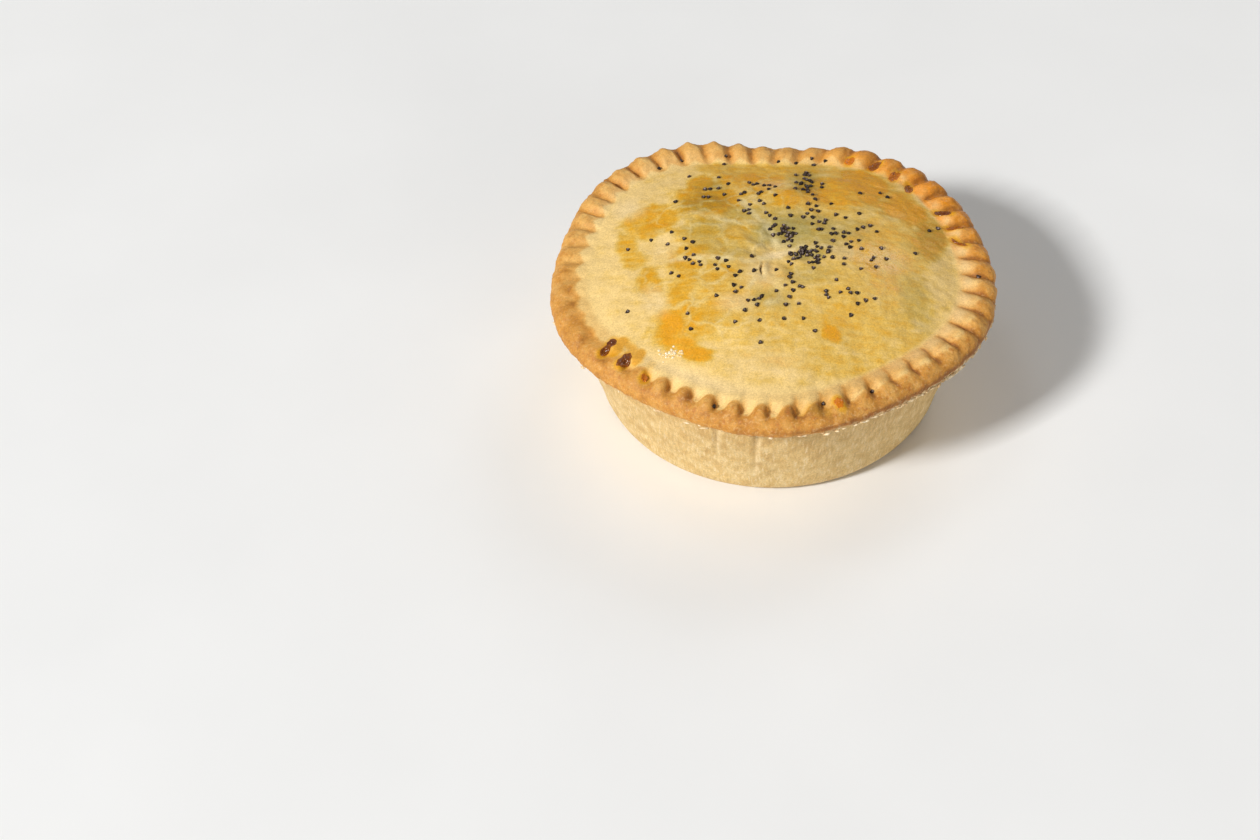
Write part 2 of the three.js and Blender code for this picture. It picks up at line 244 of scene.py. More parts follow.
# Darker places: painted shade of the lid's dip and of slopes turned from the light, and a greyer tint
SHADE_AND_TINT_PATCHES = [
    (3, 8, 9, 7, 0, 0.9),
    (13, 8, 8, 7, 0, 0.6),
    (-19, 20, 6, 6, 0, 0.6),
    (-19, 8, 6, 5, 0, 0.5),
    (-18, 29, 4, 4, 0, 0.5),
    (44, 12, 4, 9, -20, 0.5),
    (9, 33, 4, 7, 0, 0.6),
    (-8, 14, 8, 5, 0, 0.5),
    (10, -10, 6, 4, 0, 0.4),
    (9.5, -1.5, 4.5, 2.5, 0, 0.8),
    (0, -19, 5, 3, 0, 0.5),
    (20, 10, 7, 5, 0, 0.4),
    (39, -15, 4, 9, 15, 0.4),
    (-13, 0, 8, 5, 0, 0.35),
]
# Paler places: bare pastry, partly painted highlight where the lid shines
PALE_AND_HIGHLIGHT_PATCHES = [
    (20, 0, 4, 3, 0, 0.3),
    (1.6, -0.7, 3.6, 1.5, 10, 0.8),
    (-31, -19, 3, 5, 20, 0.5),
    (-9, -21, 5, 3, 0, 0.4),
    (-2, -9.5, 5, 6, 0, 0.4),
    (0, -40, 9, 4, 0, 0.3),
    (-30, 0, 3.5, 5, 0, 0.4),
    (-41, 21, 4, 5, 30, 0.5),
    (0, 30, 4, 3, 0, 0.3),
]
SHEEN_PATCHES = [
    (29, -1, 8, 6, 0, 1.3),
    (31, -12, 6, 5, 0, 0.5),
    (21, 39, 8, 5, -30, 1.0),
    (28, 28, 5, 7, -20, 0.15),
]
PATCH_SQUARENESS = 2.6

# Edges of the patches: the distances, 1 at a patch's edge, where each is gone and where it is full,
# and the layers of lumps that make it ragged. The wash also stops at an inset from the rim's edge,
# further in on the bare stretches (angle, half width and change).
WASH_FADE = (1.4, 0.6)
SHADE_AND_TINT_FADE = (1.6, 0.4)
SOFT_FADE = (1.6, 0.3)
WASH_RAGGED = [(0.3, 6, 3), (0.1, 1.5, 8)]
SHADE_AND_TINT_RAGGED = (0.3, 4, 37)
WASH_INSETS = (8, 11.5)
BARE_STRETCHES = [(44, 18, 2.2), (252, 34, 3)]

# Browning of the rim: how far in it reaches, with changes on stretches, teeth in the grooves and
# lobes at the front, and painted shade on the shaded side of each front lobe. Pairs are the usual
# value and its change at the front.
BROWN_REACH = 6.0
BROWN_REACH_CHANGES = [(*FRONT, -2.7), (*RIGHT, -2.9), (*BACK, 3.2), (*BACK_RIGHT, 1.5)]
BROWN_SHIFT = 0.06
BROWN_TOOTH = 2.2
BROWN_LOBE = 3.3
BROWN_LOBE_START = 0.2
BROWN_LOBE_FULLNESS = 0.7
BROWN_SOFTNESS = (0.8, -0.4)
BROWN_UNEVENNESS = (0.4, -0.25)
BROWN_STRENGTH = (0.36, 0.2)
BROWN_PATCHINESS = 0.10
BROWN_LUMPS = (1, 5, 55)
LOBE_SHADE = (0.4, 4.9, 1.8)
LOBE_SHADE_SHARE = 0.88
LOBE_SHADE_WIDTH = 0.14

# Toasted bands of the rim, and painted light where two rows take browning off the outer band at the
# right, which lies in shade: strength, stretch, and the insets where each is gone and where it is full
TOAST_AND_LIGHT_BANDS = [
    (0.12, EVERYWHERE, 5, 1.5),
    # Painted light: less browning on the outer band at the right, which lies in shade
    (-0.12, RIGHT_SHADE, 5, 1.5),
    (0.2, RIGHT, 11.5, 9),
    # Painted light: less browning at the right end of the outer band, which lies in shade
    (-0.22, RIGHT_END, 4, 2.5),
    (0.2, BACK_RIGHT, 8, 4),
    (0.2, BACK_POINTED, 2, 1),
    (0.18, LEFT, 11.5, 9),
    (0.18, FRONT_RIGHT, 11, 9.4),
    (-0.18, FRONT_RIGHT, 6.5, 4.5),
]

# Browning and painted shade in the grooves, painted shade along the folds of their middles, and browning
# on the torn lower edge
GROOVE_BROWN_AND_SHADE = 0.14
GROOVE_BROWN_AND_SHADE_CHANGES = [(*FRONT, -0.14), (*BACK, 0.45), (*BACK_RIGHT, 0.75), (*RIGHT, 0.3)]
GROOVE_INSETS = (9.5, 7)
FOLD_SHADE_STRETCHES = [(*BACK_RIGHT, 0.7), (*RIGHT, 0.55)]
FOLD_WIDTH = 0.07
FOLD_INNER_INSETS = (10, 8.6)
FOLD_OUTER_INSETS = (1.5, 3.5)
LOW_EDGE = (0.75, 1.7, 0.9)
LOW_EDGE_INSETS = (2.2, 0.8)

# Darker brown spots of the rim: angle, half width of the angle, strength and inset
DARK_SPOTS = [
    (283, 3.5, 0.45, 3.6),
    (276, 2.0, 0.3, 4.2),
    (286, 2.0, 0.3, 5.0),
    (247.5, 2.0, 0.3, 3.6),
    (183.6, 1.8, 0.28, 4.1),
    (191.4, 1.8, 0.34, 5.3),
    (197.8, 1.8, 0.34, 5.6),
    (205.5, 1.8, 0.28, 5.0),
]
DARK_SPOT_WIDTH = 1.6

# Pale pastry, with painted highlight in places: inner ends of the ridges, partly painted light where
# they face the light; the lid's edge at the front left, partly painted light over a band in shade; the
# pucker; the torn edge under the rim; and what is frayed beside the creases of the case, partly
# painted highlight on their lit sides
# Inner ends of the ridges: pale pastry, partly painted light where they face the light
PALE_AND_LIT_RIDGES = [(-10, 50, 1.0), (140, 30, 0.5)]
RIDGE_ENDS = (0.42, 8.4, 2.0)
# Lid's edge at the front left: pale pastry, partly painted light over a band that lies in shade
PALE_AND_LIT_EDGE = (0.5, 9.6, 2.0)
PALE_PUCKER = 0.36
PALE_PUCKER_RADIUS = 4
PALE_PUCKER_LUMPS = (0.24, 2.5, 17)
TORN_EDGE_INSETS = (2.2, 1.4)
TORN_EDGE_RISES = (1.2, 0.7)
TORN_EDGE_LUMPS = (0.5, 1.6, 29)
# Pale strip on the lit side of each case crease: frayed pastry and painted highlight
FRAY_HIGHLIGHT_OFFSET = 0.9
FRAY_HIGHLIGHT_HEIGHTS = (-4, 6)
FRAY_HIGHLIGHT_STRENGTH = 0.6
FRAY_HIGHLIGHT_LUMPS = (0.8, 2.2, 49)
FRAY_HIGHLIGHT_BENDS = (0.5, 1.5, 47)

# Brown freckles and orange glaze of the rim, and painted shade inside the slit and in the case's creases
FRECKLE_LEAST = 0.55
FRECKLE_INSETS = (7, 4)
AMBER_INSETS = (11.5, 9.5)
AMBER_STRENGTH = 1.1
AMBER_LUMPS = (0.8, 3, 63)
AMBER_SHARES = (0.3, 0.8)
AMBER_LEAST = 0.7
# Painted shade: inside the slit, and in the case's creases by their depth
SLIT_SHADE = (0.25, 0.8)
WALL_CREASE_SHADE = 0.4

# Pale wrinkles in the egg wash: distances from the lid's middle and x where they are gone and full
WRINKLE_DISTANCES = (44, 30)
WRINKLE_PLACES = (18, -4)
WRINKLE_LEAST = 0.3

# Pale creases of the lid round the pucker, each a strength and a path of x and y
CREASES = [
    (0.8, [(-27.1, -4.4), (-17.7, -3.5), (-9.4, -5.0), (-5.3, -4.6), (-1.2, -2.0), (2.5, -2.2)]),
    (0.8, [(-9.4, 21.8), (-5.3, 14.1), (0.0, 7.7), (1.5, 2.0)]),
    (0.5, [(-23.0, 15.3), (-16.5, 12.4), (-9.4, 10.6), (-1.0, 10.6)]),
    (0.25, [(22.4, 7.7), (29.5, 14.1), (36.5, 20.0)]),
    (0.8, [(1.2, 0.3), (4.7, 0.8), (11.0, 2.2), (17.2, 0.7)]),
    (0.6, [(-1.6, -4.0), (-1.7, -8.0), (-1.4, -12.6)]),
    (0.6, [(-6.5, -17.0), (-5.0, -13.4), (-1.4, -12.6), (2.4, -15.0), (2.6, -19.0), (-1.0, -21.6)]),
]
CREASE_FADE = (1.8, 0.2)
CREASE_BENDS = [(0.7, 3, 21), (0.7, 3, 23)]
CREASE_STRENGTH = 0.7
CREASE_LUMPS = (0.6, 3, 27)

# Poppy seeds: the sprinkle that is part of the solid, then a finer one of the same kind.
# Patches are x, y, spread along x, spread along y and count; strays are angle and inset.
SEED_LENGTH = 1.3
SEED_WIDTH = 1.1
SEED_HEIGHT = 1.0
SEED_BEND = 0.32
SEED_BEND_MIDDLE = 0.35
SEED_TAPER = 0.16
SEED_SIZES = (0.84, 1.1)
SEED_ROLL = 0.5
SEED_GAP = 1.05
FINE_SEED_GAP = 0.62
SEED_RISE = 0.12
SEED_RANDOM_START = 2403888309
STREAM_FACTOR = 1664525
STREAM_STEP = 1013904223
STREAM_RANGE = 2 ** 32
SPRINKLE_RADIUS = 45
SPRINKLE = [
    (9.5, -1.5, 2.8, 2.0, 20),
    (3.5, 7.5, 2.4, 1.6, 9),
    (22, 4, 6.0, 6.0, 30),
    (20, -15, 4.5, 4.0, 14),
    (-1, -20, 4.5, 3.0, 14),
    (6, -14, 2.5, 2.0, 6),
    (-14, -6, 6.0, 4.0, 14),
    (-24, 1, 8.0, 6.0, 9),
    (9, 32, 2.2, 4.5, 15),
    (-15, 28, 5.0, 5.0, 13),
    (-3, 22, 4.5, 5.0, 11),
    (11, 15, 5.0, 3.0, 11),
    (28, 23, 8.0, 7.0, 4),
]
FINE_SPRINKLE = [
    (9.5, -1.5, 2.2, 1.2, 34),
    (3.5, 6.5, 1.6, 1.6, 16),
    (9.5, 32, 1.6, 4.0, 8),
    (15, 10, 9.0, 8.0, 22),
    (-4, 26, 8.0, 6.0, 12),
    (4, -14, 9.0, 5.0, 8),
]
STRAY_SEEDS = [
    (0, 5), (107, 8), (121, 8), (129, 9), (286, 6), (300.8, 4.9), (255.6, 4),
    (72.5, 8.9), (77.3, 7.9), (75.8, 10.4), (82.3, 9.2), (88.7, 8.7), (108.5, 11.2),
    (228, 26.8), (209.8, 17.6), (235, 22.7), (232.8, 35.2), (266.4, 25.2), (252, 29.4),
    (264.4, 32.2), (292.5, 27), (289.2, 31.7), (176.6, 20.5), (171.4, 26.3), (142.2, 28),
    (21.1, 12), (19.8, 15.1),
]

# Gravy that leaked into the crimps: angle and inset of its inner and its outer end, width and how
# pale it is. The runs of clear fat beside it have a reach and a strength in place of these.
GRAVY_LEAKS = [
    (15.5, 9.3, 11.6, 6.6, 1.4, 0.35),
    (21.0, 9.0, 19.6, 5.4, 2.6, 0.45),
    (29.0, 9.4, 26.4, 6.2, 2.8, 0.0),
    (41.2, 11.4, 44.2, 8.8, 2.6, 0.3),
    (49.0, 11.0, 50.6, 6.4, 3.0, 0.6),
    (57.6, 9.6, 57.0, 5.8, 3.0, 0.25),
    (64.6, 9.2, 65.4, 7.0, 2.8, 0.85),
    (217.2, 9.4, 217.9, 7.0, 2.4, 0.0),
    (217.8, 7.0, 218.7, 4.2, 1.9, 0.15),
    (224.9, 8.3, 225.5, 3.8, 2.8, 0.1),
    (233.4, 5.0, 233.9, 3.9, 1.6, 0.75),
    (289.6, 5.0, 290.2, 3.0, 2.4, 1.0),
]
FAT_RUNS = [
    (219.4, 10.4, 221.0, 6.6, 2.8, 1.0),
    (220.0, 10.4, 226.8, 9.6, 2.2, 0.85),
    (226.8, 10.2, 228.0, 7.4, 2.4, 1.0),
    (232.6, 9.0, 234.0, 5.0, 1.8, 0.36),
    (39.0, 12.5, 52.0, 10.5, 3.0, 0.36),
    (279.5, 5.0, 286.0, 3.0, 2.6, 0.3),
]

# Stains round the leaks (reach, core and strength) and the runs (share of the reach and strength)
LEAK_STAIN = (2.3, 0.5, 0.85)
RUN_CORE = 0.3
RUN_STRENGTH = 0.9
STAIN_LUMPS = (0.5, 2.5, 61)

# Pools and bubbles of gravy. The waves of an outline are numbers round the pool, and their turns are
# radians.
GRAVY_FILM = 0.08
GRAVY_MENISCUS = 0.12
GRAVY_SUNK = 0.5
POOL_COLUMNS = 32
POOL_SHARES = (1.0, 0.92, 0.78, 0.6, 0.4, 0.2)
POOL_END = 0.5
POOL_WAVES = (2, 3, 5, 7)
POOL_WAVE_HEIGHT = 0.08
POOL_WAVE_TURN = 6
POOL_EDGE_POWER = 4
POOL_EDGE_TINT = 0.3
BUBBLES_PER_POOL = 3
BUBBLE_SIZES = (0.14, 0.28)
BUBBLE_TINT = 0.1

# Froth of dried egg wash: its middle, spread along x and y, count, least and greatest size, flatness
FROTH_PLACE = (-25.2, -36.6)
FROTH_SPREAD = (1.7, 0.9)
FROTH_COUNT = 44
FROTH_SIZES = (0.2, 0.45)
FROTH_FLATNESS = 0.7

# Torn flakes: how many, the share that gathers on a stretch (angle and spread), and least and
# greatest values of each. The swings of a flake's corners, hang and roll are radians.
FLAKE_COUNT = 240
FLAKES_GATHERED = 0.75
FLAKE_STRETCH = (319, 16)
FLAKE_CORNERS = (5, 8)
FLAKE_CORNER_SWING = 0.3
FLAKE_RADII = (0.5, 1.0)
FLAKE_LENGTHS = (0.6, 1.6)
FLAKE_WIDTHS = (0.2, 0.5)
FLAKE_WARP = 0.12
FLAKE_THICKNESSES = (0.06, 0.14)
FLAKE_HANGS = (0.3, 1.7)
FLAKE_ROLL = 0.4
FLAKE_INSETS = (-0.1, 0.9)
FLAKE_RISES = (-0.3, 0.35)

# Columns and rows of the small balls that become seeds and bubbles, and the height they drop from
BALL_COLUMNS = 12
BALL_ROWS = 7
DROP_HEIGHT = 100

# Colours as red, green and blue from 0 to 255. A ramp has a position for each.
WASH_RAMP = [(0.0, (242, 207, 135)), (0.4, (228, 187, 91)), (0.75, (224, 167, 44)), (1.0, (229, 159, 22))]
BROWN_RAMP = [(0.0, (236, 194, 118)), (0.4, (222, 167, 86)), (0.7, (202, 139, 56)), (1.0, (156, 98, 36))]
STAIN_RAMP = [(0.1, (238, 190, 80)), (0.5, (230, 168, 16)), (0.9, (220, 152, 4))]
CASE_RAMP = [(0.34, (212, 176, 112)), (0.5, (221, 188, 124)), (0.64, (230, 200, 141))]
SEED_RAMP = [(0.0, (28, 17, 10)), (0.6, (48, 31, 22)), (1.0, (74, 54, 44))]
GRAVY_RAMP = [(0.0, (98, 46, 18)), (0.4, (144, 80, 20)), (1.0, (208, 118, 22))]
FROTH_RAMP = [(0.35, (242, 204, 132)), (0.65, (252, 238, 208))]
FLAKE_RAMP = [(0.3, (216, 170, 112)), (0.5, (242, 214, 166)), (0.7, (252, 236, 204))]
FLOOR_RAMP = [(0.3, (240, 240, 239)), (0.7, (243, 243, 242))]
# Browning and painted shade that darken the top of the case
SHADE_AND_TINT_COLOUR = (186, 202, 213)
WRINKLE_COLOUR = (240, 218, 160)
CREASE_COLOUR = (244, 224, 168)
AMBER_COLOUR = (236, 146, 8)
TOAST_AND_SHADE_COLOUR = (232, 218, 200)
PALE_AND_HIGHLIGHT_COLOUR = (244, 216, 164)
# Painted shade in the slit and the case's creases
PAINTED_SHADE_COLOUR = (70, 40, 22)
# Painted highlight on the seeds' tops
SEED_HIGHLIGHT_COLOUR = (190, 172, 162)
PIT_COLOUR = (66, 52, 46)

# Stretched noises of the paint, as scales along x, y and z: brush strokes on the lid, scuffs on the case
STREAK_STRETCH = (0.16, 1, 1)
SCUFF_STRETCH = (1, 1, 0.13)

# Ranges of the paint: the values between which it changes, and what they become if not 0 and 1
NOISE_RANGE = (0.3, 0.7)
UNEVEN_WASH = (0, 0.3)
WRINKLED_WASH = (0, 1, 1, 0.5)
BROWN_START = (0, 0.3)
AMBER_ON_BROWN = (0.95, 0.55, 0.3, 1)
STAIN_RANGE = (0.05, 0.8, 0, 0.85)
TOAST_AND_SHADE_RANGE = (0.25, 0.9, 0, 0.55)
FINE_SHADE = (*NOISE_RANGE, 0.87, 1.08)
SHEEN_SHINE = (0, 1, 0.36, 0.75)
WASH_ROUGHNESS = (0.2, 0.9, 0.62, 0.36)
SEED_TOPS = (0.8, 0.98)
SEED_PITS = (0.2, 0.7, 0, 0.3)
GRAVY_MOTTLE = (0.35, 0.7, -0.1, 0.2)
WRINKLE_BREAKS = (0.38, 0.58)

# Wrinkles of the egg wash, in shares of their size: the reach and scale of their bends, and breaks
WRINKLE_BEND = 0.6
WRINKLE_BEND_SCALE = 2
WRINKLE_BREAK_SIZE = 0.9

# Freckles and pale flecks of the rim: size and detail of their noise, range and colour. Then scuffs
# and rubbed places of the case: range and colour
FRECKLES = [
    ((1.3, 3), (0.54, 0.68, 0, 0.6), (186, 112, 42)),
    ((0.8, 4), (0.54, 0.66, 0, 0.28), (240, 200, 140)),
]
SCUFFS = [((0.54, 0.68, 0, 0.5), (246, 226, 184)), ((0.46, 0.32, 0, 0.4), (184, 140, 82))]

# Strengths of the paint's marks, of its random changes either way, of its gloss and of its relief
WRINKLE_PAINT = 0.22
CREASE_PAINT = 0.7
SEED_HIGHLIGHT_PAINT = 0.85
WASH_MOTTLE = 0.16
WASH_STREAKS = 0.14
BROWN_MOTTLE = 0.12
BROAD_SHADE = 0.04
GRAIN_SHADE = 0.08
SHEEN_GLOSS = 0.14
AMBER_GLOSS = 0.22
MEDIUM_RELIEF = 0.8

# Camera fitted to the photograph, whose frame is 1260 by 840 pixels
PHOTO_SIZE = (1260, 840)
CAMERA_AIM = (0.9, 0.0, 31.4)
CAMERA_AIM_PIXEL = (773.83, 288.82)
CAMERA_ELEVATION = 42.78
CAMERA_ROLL = -1.732
CAMERA_DISTANCE = 587.1
FOCAL_PIXELS = 2100
SENSOR_WIDTH = 36
CLIP_START = 10

# Studio in metres: each light's direction, distance, size and power in watts, the world and the floor
LIGHTS = {
    "key_light": ((-0.62, -0.50, 0.62), 4.0, 0.65, 155.0),
    "high_light": ((-0.34, 0.26, 0.905), 3.0, 0.8, 4.0),
    "rear_light": ((0.34, 0.69, 0.64), 3.0, 1.2, 12.0),
    "fill_light": ((0.60, -0.76, 0.25), 3.0, 1.2, 15.0),
}
WORLD_COLOUR = (1.0, 0.99, 0.97, 1.0)
WORLD_STRENGTH = 0.2
FLOOR_HALF = 4.0

rng = np.random.default_rng(7)


# Shape of the crust, by the same rules as the solid

def bell(offset, half_width):
    return np.exp(-((offset / half_width) ** 2))


def fade(value, start, end):
    """A smooth step from 0 at start to 1 at end, where end may be the lower one."""
    share = np.clip((value - start) / (end - start), 0, 1)
    return share * share * (3 - 2 * share)


def turn_between(a, b):
    """The least turn from one angle to another, in degrees."""
    return (a - b + 180) % 360 - 180


def along_rim(degrees, stretch):
    """1 in the middle of a stretch of the rim, falling to 0 beside it."""
    return bell(turn_between(degrees, stretch[0]), stretch[1])


def stretched(degrees, *stretches):
    """What stretches of the rim add up to at an angle. The third value of each is its amount."""
    return sum(stretch[2] * along_rim(degrees, stretch) for stretch in stretches)


def rim_radius(angle):
    radius = RIM_RADIUS
    for count, height, crest in RIM_WAVES:
        radius = radius + height * np.cos(count * (angle - math.radians(crest)))
    return radius


def rim_place(degrees, inset):
    """The x and y of an angle and an inset from the rim's edge."""
    angle = math.radians(degrees)
    radius = float(rim_radius(np.array(angle))) - inset
    return radius * math.cos(angle), radius * math.sin(angle)


def crimp_angle(place):
    """Angle of a place counted in crimps round the rim, with a groove at every whole number."""
    even = 2 * np.pi * place / CRIMP_COUNT
    degrees = np.degrees(even) + CRIMP_START
    for wave, cosine, sine in CRIMP_DRIFT:
        degrees = degrees + cosine * np.cos(wave * even) + sine * np.sin(wave * even)
    return np.radians(degrees)


def leaning_angle(place, inset):
    """The same at an inset from the rim's edge, where the crimps lean."""
    angle = crimp_angle(place)
    lean = LEAN_USUAL + stretched(np.degrees(angle), LEAN_STRETCH)
    return angle + np.radians(lean) * (LEAN_INSET - inset) / VALLEY_INSET


def crimp_depth(place):
    """Depth of the crimping, from full in the middle of a groove to none on a ridge."""
    degrees = np.degrees(crimp_angle(place))
    before = np.floor(place)
    skewed = before + (place - before) ** (1 + stretched(degrees, SKEW_STRETCH))
    groove = np.floor(skewed + 0.5)
    across = np.abs(skewed - groove)
    weakness = 0.5 + 0.5 * np.sin(CRIMP_VARIATION_STEP * (groove % CRIMP_COUNT))
    depth = CRIMP_DEPTH * (1 - CRIMP_VARIATION * weakness)
    for stretch in DEPTH_STRETCHES:
        depth = depth * (1 + stretched(degrees, stretch))
    creased = 1 - np.sin(np.pi * across)
    width = CRIMP_ROUNDNESS - stretched(degrees, NARROW_STRETCH)
    rounded = 0.5 + 0.5 * np.cos(np.pi * np.minimum(across / width, 1))
    return depth * (rounded + along_rim(degrees, CREASED_STRETCH) * (creased - rounded))


def edge_reach(angle):
    share = fade(0.5 + 0.5 * np.sin(angle), *EDGE_REACH_BACKNESS)
    return EDGE_REACH_FRONT + (EDGE_REACH_BACK - EDGE_REACH_FRONT) * share


def lid_height(x, y):
    angle = np.arctan2(y, x)
    share = np.minimum(np.hypot(x, y) / (rim_radius(angle) - VALLEY_INSET), 1)
    from_dimple = np.hypot(x - DIMPLE_X, y)
    round_dimple = np.arctan2(y, x - DIMPLE_X)
    height = SEAM_HEIGHT + VALLEY_RISE + DOME_RISE * (1 - share ** DOME_POWER)
    height = height + stretched(np.degrees(angle), *LEVEL_STRETCHES) * share ** LEVEL_POWER
    height = height - DIMPLE_DEPTH * bell(from_dimple, DIMPLE_RADIUS)
    puckered = bell(from_dimple - PUCKER_RADIUS, PUCKER_RADIUS / 2)
    height = height + PUCKER_HEIGHT * puckered * np.cos(PUCKER_COUNT * round_dimple)
    for centre_x, centre_y, radius, rise in SWELLINGS:
        height = height + rise * bell(np.hypot(x - centre_x, y - centre_y), radius)
    return height


def polar(radius, angle, height):
    points = np.empty((len(angle), 3))
    points[:, 0] = radius * np.cos(angle)
    points[:, 1] = radius * np.sin(angle)
    points[:, 2] = height
    return points


def section_rows(section, rows):
    """Evenly spaced rows on a smooth curve through a section's points."""
    points = np.array(section, float)
    steps = np.hypot(*np.diff(points[:, :2], axis=0).T)
    along = np.concatenate([[0], np.cumsum(steps)])
    slopes = np.gradient(points, along, axis=0)
    places = np.linspace(0, along[-1], rows)
    piece = np.clip(np.searchsorted(along, places, side="right") - 1, 0, len(along) - 2)
    width = (along[piece + 1] - along[piece])[:, None]
    t = (places - along[piece])[:, None] / width
    start = points[piece] * (1 + 2 * t) * (1 - t) ** 2 + slopes[piece] * width * t * (1 - t) ** 2
    end = points[piece + 1] * t ** 2 * (3 - 2 * t) - slopes[piece + 1] * width * t ** 2 * (1 - t)
    return start + end


def column_places(columns):
    """Places of evenly spaced columns, counted in crimps round the rim."""
    return np.arange(columns) * CRIMP_COUNT / columns


def wall_rings():
    angle = leaning_angle(column_places(WALL_COLUMNS), 0)
    uneven = rim_radius(angle) - RIM_RADIUS
    rings = []
    for radius, height in section_rows(CASE_SECTION, WALL_ROWS):
        followed = WALL_FOLLOWS_RIM * height / SEAM_HEIGHT
        rings.append(polar(radius + followed * uneven, angle, max(height, 0)))
    seam = np.hypot(rings[-1][:, 0], rings[-1][:, 1])
    edge = rim_radius(angle) - RIM_SECTION[0][0]
    for share in np.linspace(0, 1, UNDERSIDE_ROWS + 1)[1:-1]:
        rings.append(polar(seam + share * (edge - seam), angle, SEAM_HEIGHT))
    return rings


def rim_rings():
    place = column_places(RIM_COLUMNS)
    rings = []
    for inset, rise, sink, pinch, lift, edge, level in section_rows(RIM_SECTION, RIM_ROWS):
        angle = leaning_angle(place, inset)
        degrees = np.degrees(angle)
        depth = crimp_depth(place) * (1 + edge * (edge_reach(angle) - 1))
        raised = lift * stretched(degrees, *RIM_LIFTS) + level * stretched(degrees, *LEVEL_STRETCHES)
        height = SEAM_HEIGHT + rise + raised - sink * depth
        rings.append(polar(rim_radius(angle) - inset - pinch * depth, angle, height))
    return rings


def lid_rings():
    rings = []
    outer = 1
    for inner, columns, rows in LID_BANDS:
        angle = leaning_angle(column_places(columns), VALLEY_INSET)
        for share in np.linspace(outer, inner, rows + 1)[1:]:
            points = polar(share * (rim_radius(angle) - VALLEY_INSET), angle, 0)
            points[:, 2] = lid_height(points[:, 0], points[:, 1])
            rings.append(points)
        outer = inner
    return rings


def stitch(lower, upper):
    """Triangles between two rings of vertex numbers, one of which may have more columns."""
    columns = max(len(lower), len(upper))
    here = np.arange(columns)
    a = lower[here * len(lower) // columns]
    b = lower[(here + 1) * len(lower) // columns % len(lower)]
    c = upper[(here + 1) * len(upper) // columns % len(upper)]
    d = upper[here * len(upper) // columns]
    first = np.stack([a, b, c], axis=1)[a != b]
    second = np.stack([a, c, d], axis=1)[c != d]
    return np.concatenate([first, second])


def closed_rings(rings):
    """One closed mesh through rings of points, with its two ends drawn to their middles."""
    starts = np.concatenate([[0], np.cumsum([len(ring) for ring in rings])])
    numbers = [np.arange(start, start + len(ring)) for start, ring in zip(starts, rings)]
    vertices = np.concatenate(rings + [[rings[0].mean(axis=0)], [rings[-1].mean(axis=0)]])
    first_middle = np.full(len(rings[0]), starts[-1])
    last_middle = np.full(len(rings[-1]), starts[-1] + 1)
    triangles = [np.stack([first_middle, np.roll(numbers[0], -1), numbers[0]], axis=1)]
    triangles += [stitch(lower, upper) for lower, upper in zip(numbers[:-1], numbers[1:])]
    triangles.append(np.stack([last_middle, numbers[-1], np.roll(numbers[-1], -1)], axis=1))
    return vertices, np.concatenate(triangles)


def soften_valley(rings, valley):
    """Rounds the crease between the rim and the lid by averaging neighbouring rings."""
    for _ in range(SOFT_PASSES):
        before = [ring.copy() for ring in rings]
        for row in range(valley - SOFT_RINGS[0], valley + SOFT_RINGS[1]):
            rings[row] = (before[row - 1] + 2 * before[row] + before[row + 1]) / 4


def build_crust():
    """The smooth crust's triangles, its points, and what each point has to know for its looks: the
    part it is in, its place, and on the rim its depth in a groove and its share of a crimp."""
    rim = rim_rings()
    top = rim + lid_rings()
    soften_valley(top, len(rim))
    wall = wall_rings()
    points, triangles = closed_rings(wall + top)
    rim_start = sum(len(ring) for ring in wall)
    lid_start = rim_start + sum(len(ring) for ring in rim)
    foot_middle = len(points) - 2
    number = np.arange(len(points))
    angle = np.arctan2(points[:, 1], points[:, 0])
    crust = SimpleNamespace(points=points, x=points[:, 0], y=points[:, 1], height=points[:, 2])
    crust.wall = (number < rim_start) | (number == foot_middle)
    crust.lid = (number >= lid_start) & ~crust.wall
    crust.rim = ~crust.wall & ~crust.lid
    crust.angle = np.degrees(angle)
    crust.inset = rim_radius(angle) - np.hypot(crust.x, crust.y)
    crust.rise = crust.height - SEAM_HEIGHT
    place = column_places(RIM_COLUMNS)
    crust.groove = np.zeros(len(points))
    crust.groove[crust.rim] = np.tile(crimp_depth(place) / CRIMP_DEPTH, len(rim))
    crust.share = np.zeros(len(points))
    crust.share[crust.rim] = np.tile(place % 1, len(rim))
    return crust, triangles


# Relief of the crust, as a move along its normals

def vertex_normals(vertices, triangles):
    a, b, c = (vertices[triangles[:, corner]] for corner in range(3))
    facing = np.cross(b - a, c - a)
    normals = np.zeros_like(vertices)
    for corner in range(3):
        np.add.at(normals, triangles[:, corner], facing)
    return normals / np.maximum(np.linalg.norm(normals, axis=1, keepdims=True), 1e-12)


def lumps(crust, *layers):
    """Smooth random lumps in layers, each a height, a size in millimetres and a shift."""
    total = np.zeros(len(crust.points))
    for height, size, shift in layers:
        scaled = crust.points / size + shift
        total += height * np.array([noise.fractal(Vector(point), *OCTAVES) for point in scaled])
    return total


def band(distance, shape):
    """A band with a strength, the distance of its middle and a half width."""
    strength, middle, half_width = shape
    return strength * bell(distance - middle, half_width)


def at_least(least, share):
    """A share from 0 to 1, carried to between a least value and 1."""
    return least + (1 - least) * share


def lobe(share, start):
    """A rounded lobe that starts at a share of a crimp and leans towards the next groove."""
    return np.sin(np.pi * np.clip((share - start) / (1 - start), 0, 1) ** LOBE_POWER)


def wall_crease_bend(crust, crease):
    """The turn from an upright crease of the case, which leans as it climbs."""
    return turn_between(crust.angle, crease + WALL_CREASE_LEAN * crust.height)


